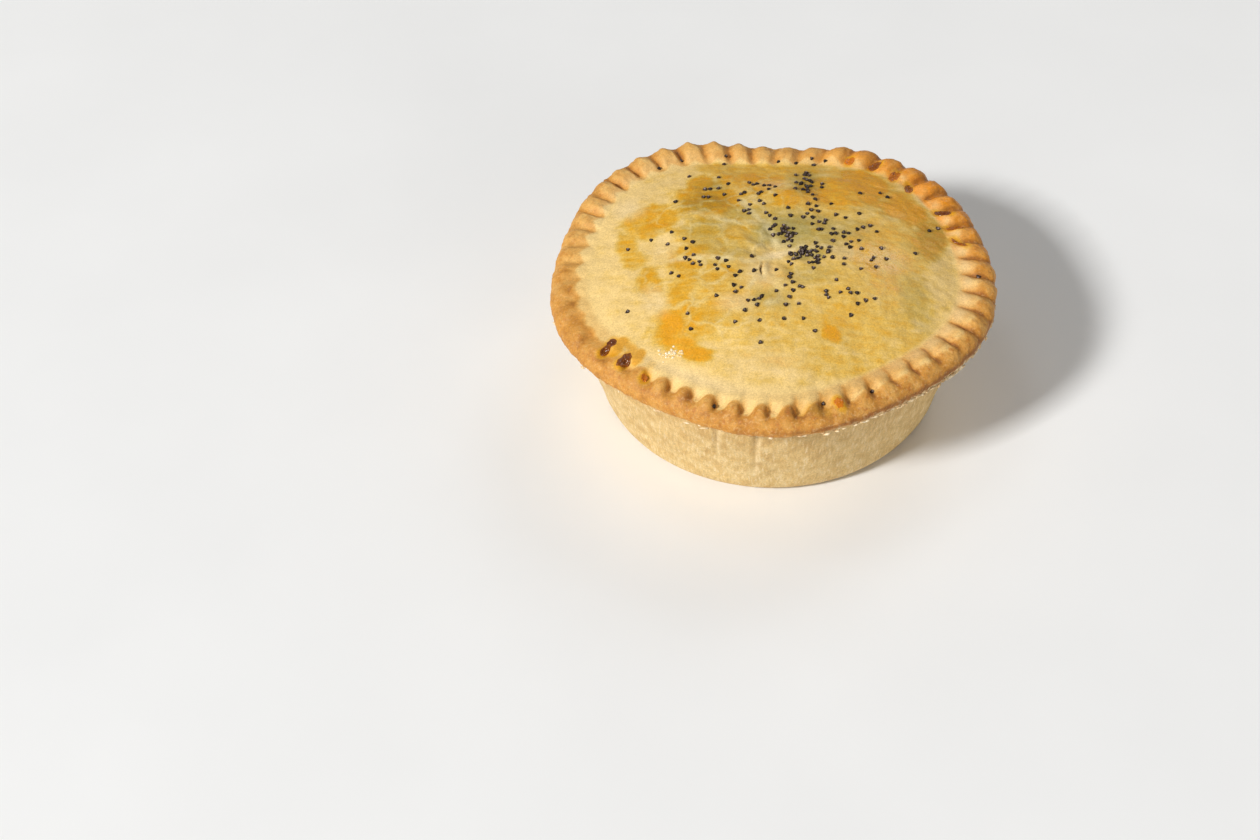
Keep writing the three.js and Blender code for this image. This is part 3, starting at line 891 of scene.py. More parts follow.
def wall_creases(crust):
    """The depth that each upright crease of the case has at each point."""
    depths = []
    for crease, depth, foot in WALL_CREASES:
        line = bell(wall_crease_bend(crust, crease), WALL_CREASE_WIDTH)
        depths.append(depth * line * fade(crust.height, foot, WALL_CREASE_FULL))
    return depths


def slit_ends(crust):
    """1 at the middle of the steam slit's length, falling to 0 beyond its ends."""
    return bell(crust.y - SLIT_Y, SLIT_LENGTH / 2) ** 2


def slit_line(crust):
    """1 along the wavy steam slit, falling to 0 beside it."""
    wavy = crust.x - SLIT_X - SLIT_WAVE * np.sin(crust.y)
    return bell(wavy, SLIT_EDGE * SLIT_WIDTH) * slit_ends(crust)


def top_relief(top):
    """The lumps of the rim and the lid, which change from one to the other at the valley."""
    lid_share = fade(top.inset, *LID_LUMPS_INSETS)
    rim_lumps = (1 + along_rim(top.angle, KNUCKLED)) * lumps(top, RIM_LUMPS)
    rim_lumps += lumps(top, RIM_GRAIN)
    rim_lumps += fade(top.inset, *OUTER_GRAIN_INSETS) * lumps(top, OUTER_GRAIN)
    return lid_share * lumps(top, *LID_LUMPS) + (1 - lid_share) * rim_lumps


def rim_relief(rim):
    """The front lobes, the pointed ridges of the back, the filled ends of the grooves at the back
    left and the torn lower edge."""
    move = along_rim(rim.angle, FRONT) * lobe(rim.share, LOBE_START) * band(rim.inset, FRONT_LOBES)
    pointed = np.cos(4 * np.pi * (rim.share - 0.5))
    move += along_rim(rim.angle, BACK_POINTED) * pointed * band(rim.inset, BACK_POINTS)
    move += along_rim(rim.angle, BACK_LEFT) * rim.groove * band(rim.inset, BACK_LEFT_FILL)
    torn = at_least(TORN_LEAST, along_rim(rim.angle, TORN)) * fade(rim.rise, *TORN_RISES)
    return move + torn * lumps(rim, TORN_LUMPS)


def wall_relief(wall):
    steady = fade(wall.height, *FOOT_HEIGHTS) * fade(wall.height, *SEAM_HEIGHTS)
    return steady * lumps(wall, *WALL_LUMPS) - sum(wall_creases(wall))


def lid_relief(lid):
    lip = band(lid.x - SLIT_X, SLIT_LIP) * slit_ends(lid)
    return lip - SLIT_DEPTH * slit_line(lid)


def roughen(crust, triangles):
    """The crust's points with lumps, creases, slit and torn edge."""
    move = np.zeros(len(crust.points))
    top = ~crust.wall
    parts = (top, crust.rim, crust.wall, crust.lid)
    for chosen, relief in zip(parts, (top_relief, rim_relief, wall_relief, lid_relief)):
        part = SimpleNamespace(**{name: values[chosen] for name, values in vars(crust).items()})
        move[chosen] += relief(part)
    return crust.points + vertex_normals(crust.points, triangles) * move[:, None]


# Colour masks, one value for each point of the crust

def patch_distance(crust, patch):
    """Distance from a patch's middle, 1 at its edge, with the patch between round and square."""
    centre_x, centre_y, half_length, half_width, turn = patch
    cosine, sine = math.cos(math.radians(turn)), math.sin(math.radians(turn))
    x, y = crust.x - centre_x, crust.y - centre_y
    along = np.abs(x * cosine + y * sine) / half_length
    across = np.abs(y * cosine - x * sine) / half_width
    return (along ** PATCH_SQUARENESS + across ** PATCH_SQUARENESS) ** (1 / PATCH_SQUARENESS)


def painted(crust, patches, edge, ragged=0):
    """The strongest patch at each point."""
    strongest = np.zeros(len(crust.points))
    for *patch, strength in patches:
        strongest = np.maximum(strongest, strength * fade(patch_distance(crust, patch) + ragged, *edge))
    return strongest


def wash_mask(crust):
    wash = painted(crust, WASH_PATCHES, WASH_FADE, lumps(crust, *WASH_RAGGED))
    inset = crust.inset - stretched(crust.angle, *BARE_STRETCHES)
    return np.where(crust.wall, 0, wash * fade(inset, *WASH_INSETS))


def shade_and_tint_mask(crust):
    """The lid's darker places: painted shade of its dip and slopes, and a greyer thin pastry by the
    pucker.
    """
    return crust.lid * painted(crust, SHADE_AND_TINT_PATCHES, SHADE_AND_TINT_FADE, lumps(crust, SHADE_AND_TINT_RAGGED))


def sheen_mask(crust):
    """Where the dried egg wash shines most."""
    return crust.lid * painted(crust, SHEEN_PATCHES, SOFT_FADE)


def brown_and_shade_mask(crust):
    """Browning of the rim, with painted shade in the grooves, along their folds and on the shaded side
    of the front lobes, and painted light on the shaded outer band at the right. Its inner edge has a
    tooth in each groove, and lobes at the front.
    """
    angle, inset = crust.angle, crust.inset
    front = along_rim(angle, FRONT)
    patchy = lumps(crust, BROWN_LUMPS)
    softness, unevenness, strength = (
        usual + change * front for usual, change in (BROWN_SOFTNESS, BROWN_UNEVENNESS, BROWN_STRENGTH)
    )
    share = (crust.share - BROWN_SHIFT) % 1
    tooth = BROWN_TOOTH * (1 - front) * 2 * np.abs(share - 0.5)
    front_lobe = BROWN_LOBE * front * lobe(share, BROWN_LOBE_START) ** BROWN_LOBE_FULLNESS
    reach = BROWN_REACH + stretched(angle, *BROWN_REACH_CHANGES) + tooth + front_lobe
    brown_and_shade = fade(inset + unevenness * patchy, reach + softness, reach - softness)
    brown_and_shade = brown_and_shade * (strength + BROWN_PATCHINESS * patchy)
    brown_and_shade = brown_and_shade + front * bell(share - LOBE_SHADE_SHARE, LOBE_SHADE_WIDTH) * band(inset, LOBE_SHADE)
    for amount, stretch, gone, full in TOAST_AND_LIGHT_BANDS:
        brown_and_shade = brown_and_shade + amount * along_rim(angle, stretch) * fade(inset, gone, full)
    # Browning and painted shade in the grooves
    grooved = GROOVE_BROWN_AND_SHADE + stretched(angle, *GROOVE_BROWN_AND_SHADE_CHANGES)
    brown_and_shade = brown_and_shade + grooved * np.clip(crust.groove, 0, 1) ** 2 * fade(inset, *GROOVE_INSETS)
    # Painted shade along the fold in the middle of each groove
    fold_shade = bell(np.minimum(crust.share, 1 - crust.share), FOLD_WIDTH)
    fold_shade = fold_shade * fade(inset, *FOLD_INNER_INSETS) * fade(inset, *FOLD_OUTER_INSETS)
    brown_and_shade = brown_and_shade + fold_shade * stretched(angle, *FOLD_SHADE_STRETCHES)
    for *spot, depth in DARK_SPOTS:
        brown_and_shade = brown_and_shade + stretched(angle, spot) * bell(inset - depth, DARK_SPOT_WIDTH)
    low_edge = band(crust.rise, LOW_EDGE) * fade(inset, *LOW_EDGE_INSETS)
    brown_and_shade = brown_and_shade + low_edge * along_rim(angle, TORN_BROWN)
    return np.where(crust.rim, np.clip(brown_and_shade, 0, 1), 0)


def fray_and_highlight_mask(crust):
    """Pale beside the upright creases of the case, on their lit side: frayed pastry and painted
    highlight.
    """
    ragged = FRAY_HIGHLIGHT_OFFSET + lumps(crust, FRAY_HIGHLIGHT_BENDS)
    fray_and_highlight = np.zeros(len(crust.points))
    for crease, depth, foot in WALL_CREASES:
        line = bell(wall_crease_bend(crust, crease) - ragged, WALL_CREASE_WIDTH)
        low, high = (foot + height for height in FRAY_HIGHLIGHT_HEIGHTS)
        fray_and_highlight = np.maximum(fray_and_highlight, depth * line * fade(crust.height, low, high))
    return crust.wall * fray_and_highlight * (FRAY_HIGHLIGHT_STRENGTH + lumps(crust, FRAY_HIGHLIGHT_LUMPS))


def pale_and_highlight_mask(crust):
    """Pale pastry and painted highlight: the inner ends of the ridges at the right and the back left,
    partly painted light; the lid's edge at the front left, partly painted light; its pucker and bare
    patches, the bare patches partly painted highlight; the torn edge under the rim; and the frayed
    case beside its creases, partly painted highlight."""
    angle, inset = crust.angle, crust.inset
    ridges = crust.rim * (1 - crust.groove) * stretched(angle, *PALE_AND_LIT_RIDGES)
    front_edge = ~crust.wall * along_rim(angle, FRONT_LEFT) * band(inset, PALE_AND_LIT_EDGE)
    pucker = bell(np.hypot(crust.x - DIMPLE_X, crust.y), PALE_PUCKER_RADIUS)
    pucker = pucker * (PALE_PUCKER + lumps(crust, PALE_PUCKER_LUMPS))
    lid = crust.lid * np.maximum(pucker, painted(crust, PALE_AND_HIGHLIGHT_PATCHES, SOFT_FADE))
    rise = crust.rise + lumps(crust, TORN_EDGE_LUMPS)
    torn_edge = crust.rim * fade(inset, *TORN_EDGE_INSETS) * fade(rise, *TORN_EDGE_RISES)
    torn_edge = torn_edge * along_rim(angle, TORN_PALE)
    pale_and_highlight = [ridges * band(inset, RIDGE_ENDS), front_edge, lid, torn_edge, fray_and_highlight_mask(crust)]
    return np.clip(np.maximum.reduce(pale_and_highlight), 0, 1)


def freckle_mask(crust):
    """Where the rim is freckled brown: its outer band, and most of all at the front and right."""
    place = at_least(FRECKLE_LEAST, along_rim(crust.angle, FRECKLED))
    return crust.rim * place * fade(crust.inset, *FRECKLE_INSETS)


def amber_mask(crust):
    """The orange glaze on the rim at the back right."""
    glazed = along_rim(crust.angle, GLAZED) * fade(crust.inset, *AMBER_INSETS)
    upper_side = at_least(AMBER_LEAST, fade(crust.share, *AMBER_SHARES))
    patchy = AMBER_STRENGTH + lumps(crust, AMBER_LUMPS)
    return np.where(crust.rim, np.clip(glazed * upper_side * patchy, 0, 1), 0)


def painted_shade_mask(crust):
    """Painted shade inside the steam slit and in the creases of the case."""
    creases = crust.wall * WALL_CREASE_SHADE * np.maximum.reduce(wall_creases(crust))
    return np.where(crust.lid, fade(slit_line(crust), *SLIT_SHADE), creases)


def path_distance(points, path):
    """Distance of each point from a path, both seen from above."""
    nearest = np.full(len(points), np.inf)
    for start, end in zip(path[:-1], path[1:]):
        start = np.array(start)
        way = np.array(end) - start
        share = np.clip((points - start) @ way / (way @ way), 0, 1)
        nearest = np.minimum(nearest, np.linalg.norm(points - start - share[:, None] * way, axis=1))
    return nearest


def crease_mask(crust):
    """The pale creases of the lid, 1 on a crease and 0 beside it."""
    bends = [lumps(crust, bend) for bend in CREASE_BENDS]
    bent = crust.points[:, :2] + np.stack(bends, axis=1)
    creased = [strength * fade(path_distance(bent, path), *CREASE_FADE) for strength, path in CREASES]
    broken = CREASE_STRENGTH + lumps(crust, CREASE_LUMPS)
    return crust.lid * np.clip(np.maximum.reduce(creased) * broken, 0, 1)


def wrinkle_mask(crust):
    """Where pale wrinkles run through the egg wash: the middle and the left of the lid."""
    left = at_least(WRINKLE_LEAST, fade(crust.x, *WRINKLE_PLACES))
    return crust.lid * left * fade(np.hypot(crust.x, crust.y), *WRINKLE_DISTANCES)


def leak_line(leak):
    """The two ends of a gravy leak or a run of fat, as places seen from above."""
    return [rim_place(*leak[0:2]), rim_place(*leak[2:4])]


def stain_mask(crust):
    """Gold where fat ran out of the pie, strongest beside the gravy."""
    ragged = lumps(crust, STAIN_LUMPS)
    stains = [(leak, *LEAK_STAIN) for leak in GRAVY_LEAKS]
    stains += [(run, run[4], RUN_CORE * run[4], RUN_STRENGTH * run[5]) for run in FAT_RUNS]
    stain = np.zeros(len(crust.points))
    for line, reach, core, strength in stains:
        distance = path_distance(crust.points[:, :2], leak_line(line)) + ragged
        stain = np.maximum(stain, strength * fade(distance, reach, core))
    return np.where(crust.wall, 0, stain)


# Meshes

def placed(name, data):
    """A new object in the scene, made from a mesh, a light or a camera."""
    made = bpy.data.objects.new(name, data)
    bpy.context.scene.collection.objects.link(made)
    return made


def make_piece(name, vertices, triangles, material, attributes=()):
    mesh = bpy.data.meshes.new(name)
    mesh.from_pydata(vertices * MM, [], triangles)
    mesh.update()
    mesh.validate()
    mesh.polygons.foreach_set("use_smooth", np.ones(len(mesh.polygons), dtype=bool))
    for attribute, values in dict(attributes).items():
        layer = mesh.attributes.new(attribute, "FLOAT", "POINT")
        layer.data.foreach_set("value", np.asarray(values, dtype=np.float32))
    mesh.materials.append(material)
    piece = placed(name, mesh)
    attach(piece, "root")
    return piece


def unit_ball():
    """A closed ball of radius 1 from rings of points."""
    turn = np.linspace(0, 2 * np.pi, BALL_COLUMNS, endpoint=False)
    rings = []
    for climb in np.linspace(-np.pi / 2, np.pi / 2, BALL_ROWS + 2)[1:-1]:
        rings.append(polar(math.cos(climb), turn, math.sin(climb)))
    vertices, triangles = closed_rings(rings)
    vertices[-2] = (0, 0, -1)
    vertices[-1] = (0, 0, 1)
    return vertices, triangles


def joined(shapes):
    """One mesh from several, each a pair of vertices and triangles."""
    starts = np.concatenate([[0], np.cumsum([len(vertices) for vertices, _ in shapes])])
    vertices = np.concatenate([vertices for vertices, _ in shapes])
    triangles = np.concatenate([triangles + start for start, (_, triangles) in zip(starts, shapes)])
    return vertices, triangles


class Surface:
    """The finished crust, to lay small things on."""

    def __init__(self, vertices, triangles):
        self.tree = BVHTree.FromPolygons(vertices.tolist(), triangles.tolist())

    def below(self, x, y):
        """The point of the crust under a place seen from above, and the way it faces."""
        point, normal, _, _ = self.tree.ray_cast(Vector((x, y, DROP_HEIGHT)), Vector((0, 0, -1)))
        return point, normal


# Poppy seeds

def random_stream(start):
    """The repeatable stream of draws from 0 to 1 that places the solid's seeds."""
    state = start
    while True:
        state = (state * STREAM_FACTOR + STREAM_STEP) % STREAM_RANGE
        yield state / STREAM_RANGE


def seed_places():
    """Places of the seeds seen from above, each with the way it points."""
    draws = random_stream(SEED_RANDOM_START)
    places = [(*rim_place(*stray), 2 * math.pi * next(draws)) for stray in STRAY_SEEDS]
    gaps = [SEED_GAP] * len(SPRINKLE) + [FINE_SEED_GAP] * len(FINE_SPRINKLE)
    for (x, y, spread_x, spread_y, count), gap in zip(SPRINKLE + FINE_SPRINKLE, gaps):
        for _ in range(count):
            reach = math.sqrt(-2 * math.log(1 - next(draws)))
            direction = 2 * math.pi * next(draws)
            turn = 2 * math.pi * next(draws)
            seed_x = x + spread_x * reach * math.cos(direction)
            seed_y = y + spread_y * reach * math.sin(direction)
            on_lid = math.hypot(seed_x, seed_y) < SPRINKLE_RADIUS
            off_slit = abs(seed_x - SLIT_X) > SLIT_CLEAR or abs(seed_y - SLIT_Y) > SLIT_LENGTH / 2
            clear = all(math.hypot(a - seed_x, b - seed_y) > gap for a, b, _ in places)
            if on_lid and clear and off_slit:
                places.append((seed_x, seed_y, turn))
    return places


def build_seeds(surface):
    """Kidney-shaped seeds, half sunk in the crust, with a shade for each and the height of each point
    on it, which paints a highlight on its top.
    """
    ball, triangles = unit_ball()
    kidney = ball * (SEED_LENGTH / 2, SEED_WIDTH / 2, SEED_HEIGHT / 2)
    kidney[:, 1] += SEED_BEND * SEED_WIDTH * (ball[:, 0] ** 2 - SEED_BEND_MIDDLE)
    kidney[:, 1] *= 1 - SEED_TAPER * ball[:, 0]
    tops = np.clip(ball[:, 2], 0, 1)
    shapes, shades = [], []
    for x, y, turn in seed_places():
        point, normal = surface.below(x, y)
        size = rng.uniform(*SEED_SIZES)
        spin = normal.to_track_quat("Z", "Y").to_matrix() @ Matrix.Rotation(turn, 3, "Z")
        spin = spin @ Matrix.Rotation(rng.uniform(-SEED_ROLL, SEED_ROLL), 3, "X")
        centre = np.array(point + normal * SEED_RISE)
        shapes.append((size * kidney @ np.array(spin).T + centre, triangles))
        shades.append(np.full(len(kidney), rng.uniform()))
    return *joined(shapes), np.concatenate(shades), np.tile(tops, len(shapes))


# Gravy in the crimps

def pool_shape(surface, leak):
    """A film of gravy that fills the crust's hollow between two ends, with an uneven outline."""
    start, end = np.array(leak_line(leak))
    width = leak[4]
    length = np.linalg.norm(end - start)
    way = (end - start) / length
    side = np.array((-way[1], way[0]))
    turn = np.linspace(0, 2 * np.pi, POOL_COLUMNS, endpoint=False)
    wave = 0
    for number in POOL_WAVES:
        height = rng.uniform(-POOL_WAVE_HEIGHT, POOL_WAVE_HEIGHT)
        wave = wave + height * np.cos(number * turn + rng.uniform(0, POOL_WAVE_TURN))
    along = (length / 2 + POOL_END) * np.cos(turn) * (1 + wave)
    across = width / 2 * np.sin(turn) * (1 + wave)
    under, over = [], []
    for share in POOL_SHARES:
        flat = (start + end) / 2 + share * (along[:, None] * way + across[:, None] * side)
        heights = np.array([surface.below(*place)[0].z for place in flat])
        if share == POOL_SHARES[0]:
            level = (heights + heights[-np.arange(POOL_COLUMNS)]) / 2
        filled = np.maximum(heights + GRAVY_FILM, level - GRAVY_MENISCUS * (1 - share))
        over.append(np.column_stack([flat, filled if share < 1 else heights - GRAVY_FILM]))
        under.append(np.column_stack([flat, heights - GRAVY_SUNK]))
    return closed_rings(under[::-1] + over)


def build_gravy(surface):
    """A pool with a few bubbles in each stained groove, and how pale each one is."""
    bubble, bubble_triangles = unit_ball()
    edges = np.repeat((*POOL_SHARES[::-1], *POOL_SHARES), POOL_COLUMNS) ** POOL_EDGE_POWER
    edges = np.append(edges, (0, 0))
    shapes, tints = [], []
    for leak in GRAVY_LEAKS:
        tint = leak[5]
        pool, triangles = pool_shape(surface, leak)
        shapes.append((pool, triangles))
        tints.append(np.clip(tint + POOL_EDGE_TINT * edges, 0, 1))
        middle, last = pool[-1], len(pool) - 2
        for _ in range(BUBBLES_PER_POOL):
            size = rng.uniform(*BUBBLE_SIZES)
            place = (middle + pool[rng.integers(last - POOL_COLUMNS, last)]) / 2
            shapes.append((size * bubble + place, bubble_triangles))
            tints.append(np.full(len(bubble), min(tint + BUBBLE_TINT, 1)))
    return *joined(shapes), np.concatenate(tints)


# Torn flakes under the rim

def build_flakes():
    """Thin chips of pastry that hang from the rim's torn lower edge."""
    shapes = []
    for _ in range(FLAKE_COUNT):
        angle = rng.normal(*FLAKE_STRETCH) if rng.uniform() < FLAKES_GATHERED else rng.uniform(0, 360)
        corners = rng.integers(*FLAKE_CORNERS)
        turn = np.linspace(0, 2 * np.pi, corners, endpoint=False)
        turn += rng.uniform(-FLAKE_CORNER_SWING, FLAKE_CORNER_SWING, corners)
        outline = polar(rng.uniform(*FLAKE_RADII, corners), turn, 0)
        outline *= (rng.uniform(*FLAKE_LENGTHS), rng.uniform(*FLAKE_WIDTHS), 1)
        outline[:, 2] = rng.uniform(-FLAKE_WARP, FLAKE_WARP, corners)
        thickness = np.array((0, 0, rng.uniform(*FLAKE_THICKNESSES)))
        vertices, triangles = closed_rings([outline - thickness, outline + thickness])
        tilt = Matrix.Rotation(math.radians(angle) + math.pi / 2, 3, "Z")
        tilt = tilt @ Matrix.Rotation(rng.uniform(*FLAKE_HANGS), 3, "X")
        tilt = tilt @ Matrix.Rotation(rng.uniform(-FLAKE_ROLL, FLAKE_ROLL), 3, "Y")
        x, y = rim_place(angle, rng.uniform(*FLAKE_INSETS))
        centre = (x, y, SEAM_HEIGHT + rng.uniform(*FLAKE_RISES))
        shapes.append((vertices @ np.array(tilt).T + centre, triangles))
    return joined(shapes)


# Froth of dried egg wash

def build_froth(surface):
    """Low bubbles in a small cluster on the lid."""
    ball, triangles = unit_ball()
    shapes = []
    for _ in range(FROTH_COUNT):
        x = FROTH_PLACE[0] + FROTH_SPREAD[0] * rng.normal()
        y = FROTH_PLACE[1] + FROTH_SPREAD[1] * rng.normal()
        point, _ = surface.below(x, y)
        size = rng.uniform(*FROTH_SIZES)
        shapes.append((ball * (size, size, FROTH_FLATNESS * size) + np.array(point), triangles))
    return joined(shapes)


# Materials

def srgb(red, green, blue):
    """A colour given in the usual 0 to 255 steps, as linear light."""
    parts = np.array((red, green, blue)) / 255
    linear = np.where(parts <= 0.04045, parts / 12.92, ((parts + 0.055) / 1.055) ** 2.4)
    return (*linear.tolist(), 1.0)


class Paint:
    """A material's node tree, with short ways to add the nodes used here."""

    def __init__(self, name):
        self.material = bpy.data.materials.new(name)
        self.material.use_nodes = True
        self.tree = self.material.node_tree
        self.shader = self.tree.nodes["Principled BSDF"]
        place = self.node("TexCoord").outputs["Object"]
        self.place = self.node("VectorMath", {0: place, "Scale": 1 / MM}, operation="SCALE").outputs[0]

    def feed(self, socket, value):
        if isinstance(value, bpy.types.NodeSocket):
            self.tree.links.new(value, socket)
        else:
            socket.default_value = value

    def node(self, kind, inputs=(), **settings):
        """A new node with its settings, and with values or other nodes on its inputs."""
        made = self.tree.nodes.new("ShaderNode" + kind)
        for name, value in settings.items():
            setattr(made, name, value)
        for name, value in dict(inputs).items():
            self.feed(made.inputs[name], value)
        return made

    def attribute(self, name):
        return self.node("Attribute", attribute_name=name).outputs["Fac"]

    def math(self, operation, first, second, clamp=False):
        return self.node("Math", {0: first, 1: second}, operation=operation, use_clamp=clamp).outputs[0]

    def times(self, first, second):
        return self.math("MULTIPLY", first, second)

    def plus(self, first, second, clamp=False):
        return self.math("ADD", first, second, clamp)

    def minus(self, first, second):
        return self.math("SUBTRACT", first, second)

    def stretch(self, scales):
        return self.node("VectorMath", {0: self.place, 1: scales}, operation="MULTIPLY").outputs[0]

    def noise(self, size, detail=3, place=None):
        """Random mottling of about that size in millimetres, between 0 and 1."""
        inputs = {"Scale": 1 / size, "Detail": detail, "Vector": place or self.place}
        return self.node("TexNoise", inputs).outputs["Fac"]

    def cells(self, size):
        """Distance from scattered points about that far apart, in shares of the gap."""
        return self.node("TexVoronoi", {"Scale": 1 / size, "Vector": self.place}).outputs["Distance"]

    def wrinkles(self, size, width):
        """Broken lines between uneven cells of about that size, 1 on a line and 0 beside it."""
        bend = self.node("TexNoise", {"Scale": WRINKLE_BEND_SCALE / size, "Vector": self.place})
        reach = WRINKLE_BEND * size
        bent = {0: bend.outputs["Color"], 1: (reach, reach, reach), 2: self.place}
        moved = self.node("VectorMath", bent, operation="MULTIPLY_ADD").outputs[0]
        cells = self.node("TexVoronoi", {"Scale": 1 / size, "Vector": moved}, feature="DISTANCE_TO_EDGE")
        line = self.between(cells.outputs["Distance"], 0, width, 1, 0)
        return self.times(line, self.between(self.noise(WRINKLE_BREAK_SIZE * size), *WRINKLE_BREAKS))

    def between(self, value, low, high, to_low=0.0, to_high=1.0):
        """Carries a value from one range to another, and holds it there."""
        ends = {"From Min": low, "From Max": high, "To Min": to_low, "To Max": to_high}
        return self.node("MapRange", {"Value": value, **ends}).outputs["Result"]

    def either_way(self, mottling, amount):
        """Carries mottling to between an amount less and an amount more than 0."""
        return self.between(mottling, *NOISE_RANGE, -amount, amount)

    def ramp(self, value, stops):
        made = self.node("ValToRGB", {"Fac": value})
        elements = made.color_ramp.elements
        while len(elements) < len(stops):
            elements.new(0.5)
        for element, (position, colour) in zip(elements, stops):
            element.position = position
            element.color = srgb(*colour)
        return made.outputs["Color"]

    def mix(self, share, first, second, blend="MIX"):
        """Lays a second colour, or another node's value, over a first one."""
        over = srgb(*second) if isinstance(second, tuple) else second
        inputs = {"Factor": share, 6: first, 7: over}
        return self.node("Mix", inputs, data_type="RGBA", blend_type=blend).outputs[2]

    def bump(self, height, depth):
        """Relief of that depth in millimetres from a height between 0 and 1."""
        inputs = {"Strength": 1.0, "Distance": depth * MM, "Height": height}
        self.set("Normal", self.node("Bump", inputs).outputs["Normal"])

    def set(self, name, value):
        self.feed(self.shader.inputs[name], value)


def wash_strength(paint, medium, wrinkles):
    """The egg wash with its mottling and streaks, thinner on the wrinkles."""
    wash = paint.attribute("wash")
    streaks = paint.noise(size=1.5, place=paint.stretch(STREAK_STRETCH))
    uneven = paint.plus(paint.either_way(medium, WASH_MOTTLE), paint.either_way(streaks, WASH_STREAKS))
    uneven = paint.times(uneven, paint.between(wash, *UNEVEN_WASH))
    return paint.times(paint.plus(wash, uneven, clamp=True), paint.between(wrinkles, *WRINKLED_WASH))


def lid_colour(paint, wash, wrinkles):
    colour = paint.ramp(wash, WASH_RAMP)
    # Painted shade and greyer tint of the lid's darker places, as a grey multiply
    colour = paint.mix(paint.attribute("shade_and_tint"), colour, SHADE_AND_TINT_COLOUR, "MULTIPLY")
    colour = paint.mix(paint.times(wrinkles, WRINKLE_PAINT), colour, WRINKLE_COLOUR)
    return paint.mix(paint.times(paint.attribute("crease"), CREASE_PAINT), colour, CREASE_COLOUR)


def rim_colour(paint, colour, medium):
    """The colour given, with the rim's browning and painted shade, glaze, freckles and stains over it."""
    # Browning and painted shade of the rim
    brown_and_shade = paint.attribute("brown_and_shade")
    mottled = paint.plus(brown_and_shade, paint.either_way(medium, BROWN_MOTTLE), clamp=True)
    colour = paint.mix(paint.between(brown_and_shade, *BROWN_START), colour, paint.ramp(mottled, BROWN_RAMP))
    amber = paint.times(paint.attribute("amber"), paint.between(brown_and_shade, *AMBER_ON_BROWN))
    colour = paint.mix(amber, colour, AMBER_COLOUR)
    place = paint.attribute("freckle")
    for look, span, freckle_colour in FRECKLES:
        freckles = paint.times(paint.between(paint.noise(*look), *span), place)
        colour = paint.mix(freckles, colour, freckle_colour)
    stain = paint.attribute("stain")
    return paint.mix(paint.between(stain, *STAIN_RANGE), colour, paint.ramp(stain, STAIN_RAMP))


def case_colour(paint):
    scuffs = paint.noise(size=0.6, detail=4, place=paint.stretch(SCUFF_STRETCH))
    colour = paint.ramp(paint.noise(size=3.4, detail=4), CASE_RAMP)
    for span, scuff_colour in SCUFFS:
        colour = paint.mix(paint.between(scuffs, *span), colour, scuff_colour)
    # Darker towards the top of the case: browning and painted shade under the rim
    toast_and_shade = paint.between(paint.attribute("high"), *TOAST_AND_SHADE_RANGE)
    return paint.mix(toast_and_shade, colour, TOAST_AND_SHADE_COLOUR, "MULTIPLY")


def crust_material():
    paint = Paint("crust")
    fine = paint.noise(size=0.6, detail=4)
    medium = paint.noise(size=2.6)
    wrinkles = paint.times(paint.wrinkles(size=9, width=0.1), paint.attribute("wrinkles"))
    wash = wash_strength(paint, medium, wrinkles)
    colour = rim_colour(paint, lid_colour(paint, wash, wrinkles), medium)
    colour = paint.mix(paint.attribute("side"), colour, case_colour(paint))
    # Pale pastry and painted highlight
    colour = paint.mix(paint.attribute("pale_and_highlight"), colour, PALE_AND_HIGHLIGHT_COLOUR)
    # Painted shade in the slit and the case's creases
    colour = paint.mix(paint.attribute("painted_shade"), colour, PAINTED_SHADE_COLOUR)
    broad = paint.either_way(paint.noise(size=9), BROAD_SHADE)
    shade = paint.plus(broad, paint.between(fine, *FINE_SHADE))
    shade = paint.plus(shade, paint.either_way(paint.noise(size=0.3, detail=2), GRAIN_SHADE))
    paint.set("Base Color", paint.mix(1.0, colour, shade, "MULTIPLY"))
    sheen = paint.attribute("sheen")
    paint.set("Specular IOR Level", paint.between(sheen, *SHEEN_SHINE))
    roughness = paint.minus(paint.between(wash, *WASH_ROUGHNESS), paint.times(sheen, SHEEN_GLOSS))
    paint.set("Roughness", paint.minus(roughness, paint.times(paint.attribute("amber"), AMBER_GLOSS)))
    relief = paint.plus(paint.plus(fine, paint.times(medium, MEDIUM_RELIEF)), wrinkles)
    paint.bump(relief, depth=0.08)
    return paint.material


def seed_material():
    paint = Paint("poppy_seed")
    shade = paint.attribute("shade")
    pits = paint.cells(size=0.22)
    # Painted highlight on the top of each seed
    top_highlight = paint.times(paint.between(paint.attribute("top"), *SEED_TOPS), shade)
    colour = paint.mix(paint.times(top_highlight, SEED_HIGHLIGHT_PAINT), paint.ramp(shade, SEED_RAMP), SEED_HIGHLIGHT_COLOUR)
    paint.set("Base Color", paint.mix(paint.between(pits, *SEED_PITS), colour, PIT_COLOUR))
    paint.set("Roughness", 0.5)
    paint.set("Specular IOR Level", 0.3)
    paint.bump(pits, depth=0.06)
    return paint.material


def gravy_material():
    paint = Paint("gravy")
    mottle = paint.noise(size=0.5)
    tint = paint.plus(paint.attribute("tint"), paint.between(mottle, *GRAVY_MOTTLE), clamp=True)
    paint.set("Base Color", paint.ramp(tint, GRAVY_RAMP))
    paint.set("Roughness", 0.12)
    paint.bump(mottle, depth=0.22)
    return paint.material


def flake_material():
    paint = Paint("flakes")
    mottle = paint.noise(size=1.4)
    paint.set("Base Color", paint.ramp(mottle, FLAKE_RAMP))
    paint.set("Roughness", 0.7)
    paint.bump(mottle, depth=0.1)
    return paint.material


def froth_material():
    paint = Paint("froth")
    paint.set("Base Color", paint.ramp(paint.noise(size=0.7), FROTH_RAMP))
    paint.set("Roughness", 0.1)
    return paint.material


def floor_material():
    paint = Paint("floor")
    paint.set("Base Color", paint.ramp(paint.noise(size=60), FLOOR_RAMP))
    paint.set("Roughness", 0.5)
    return paint.material


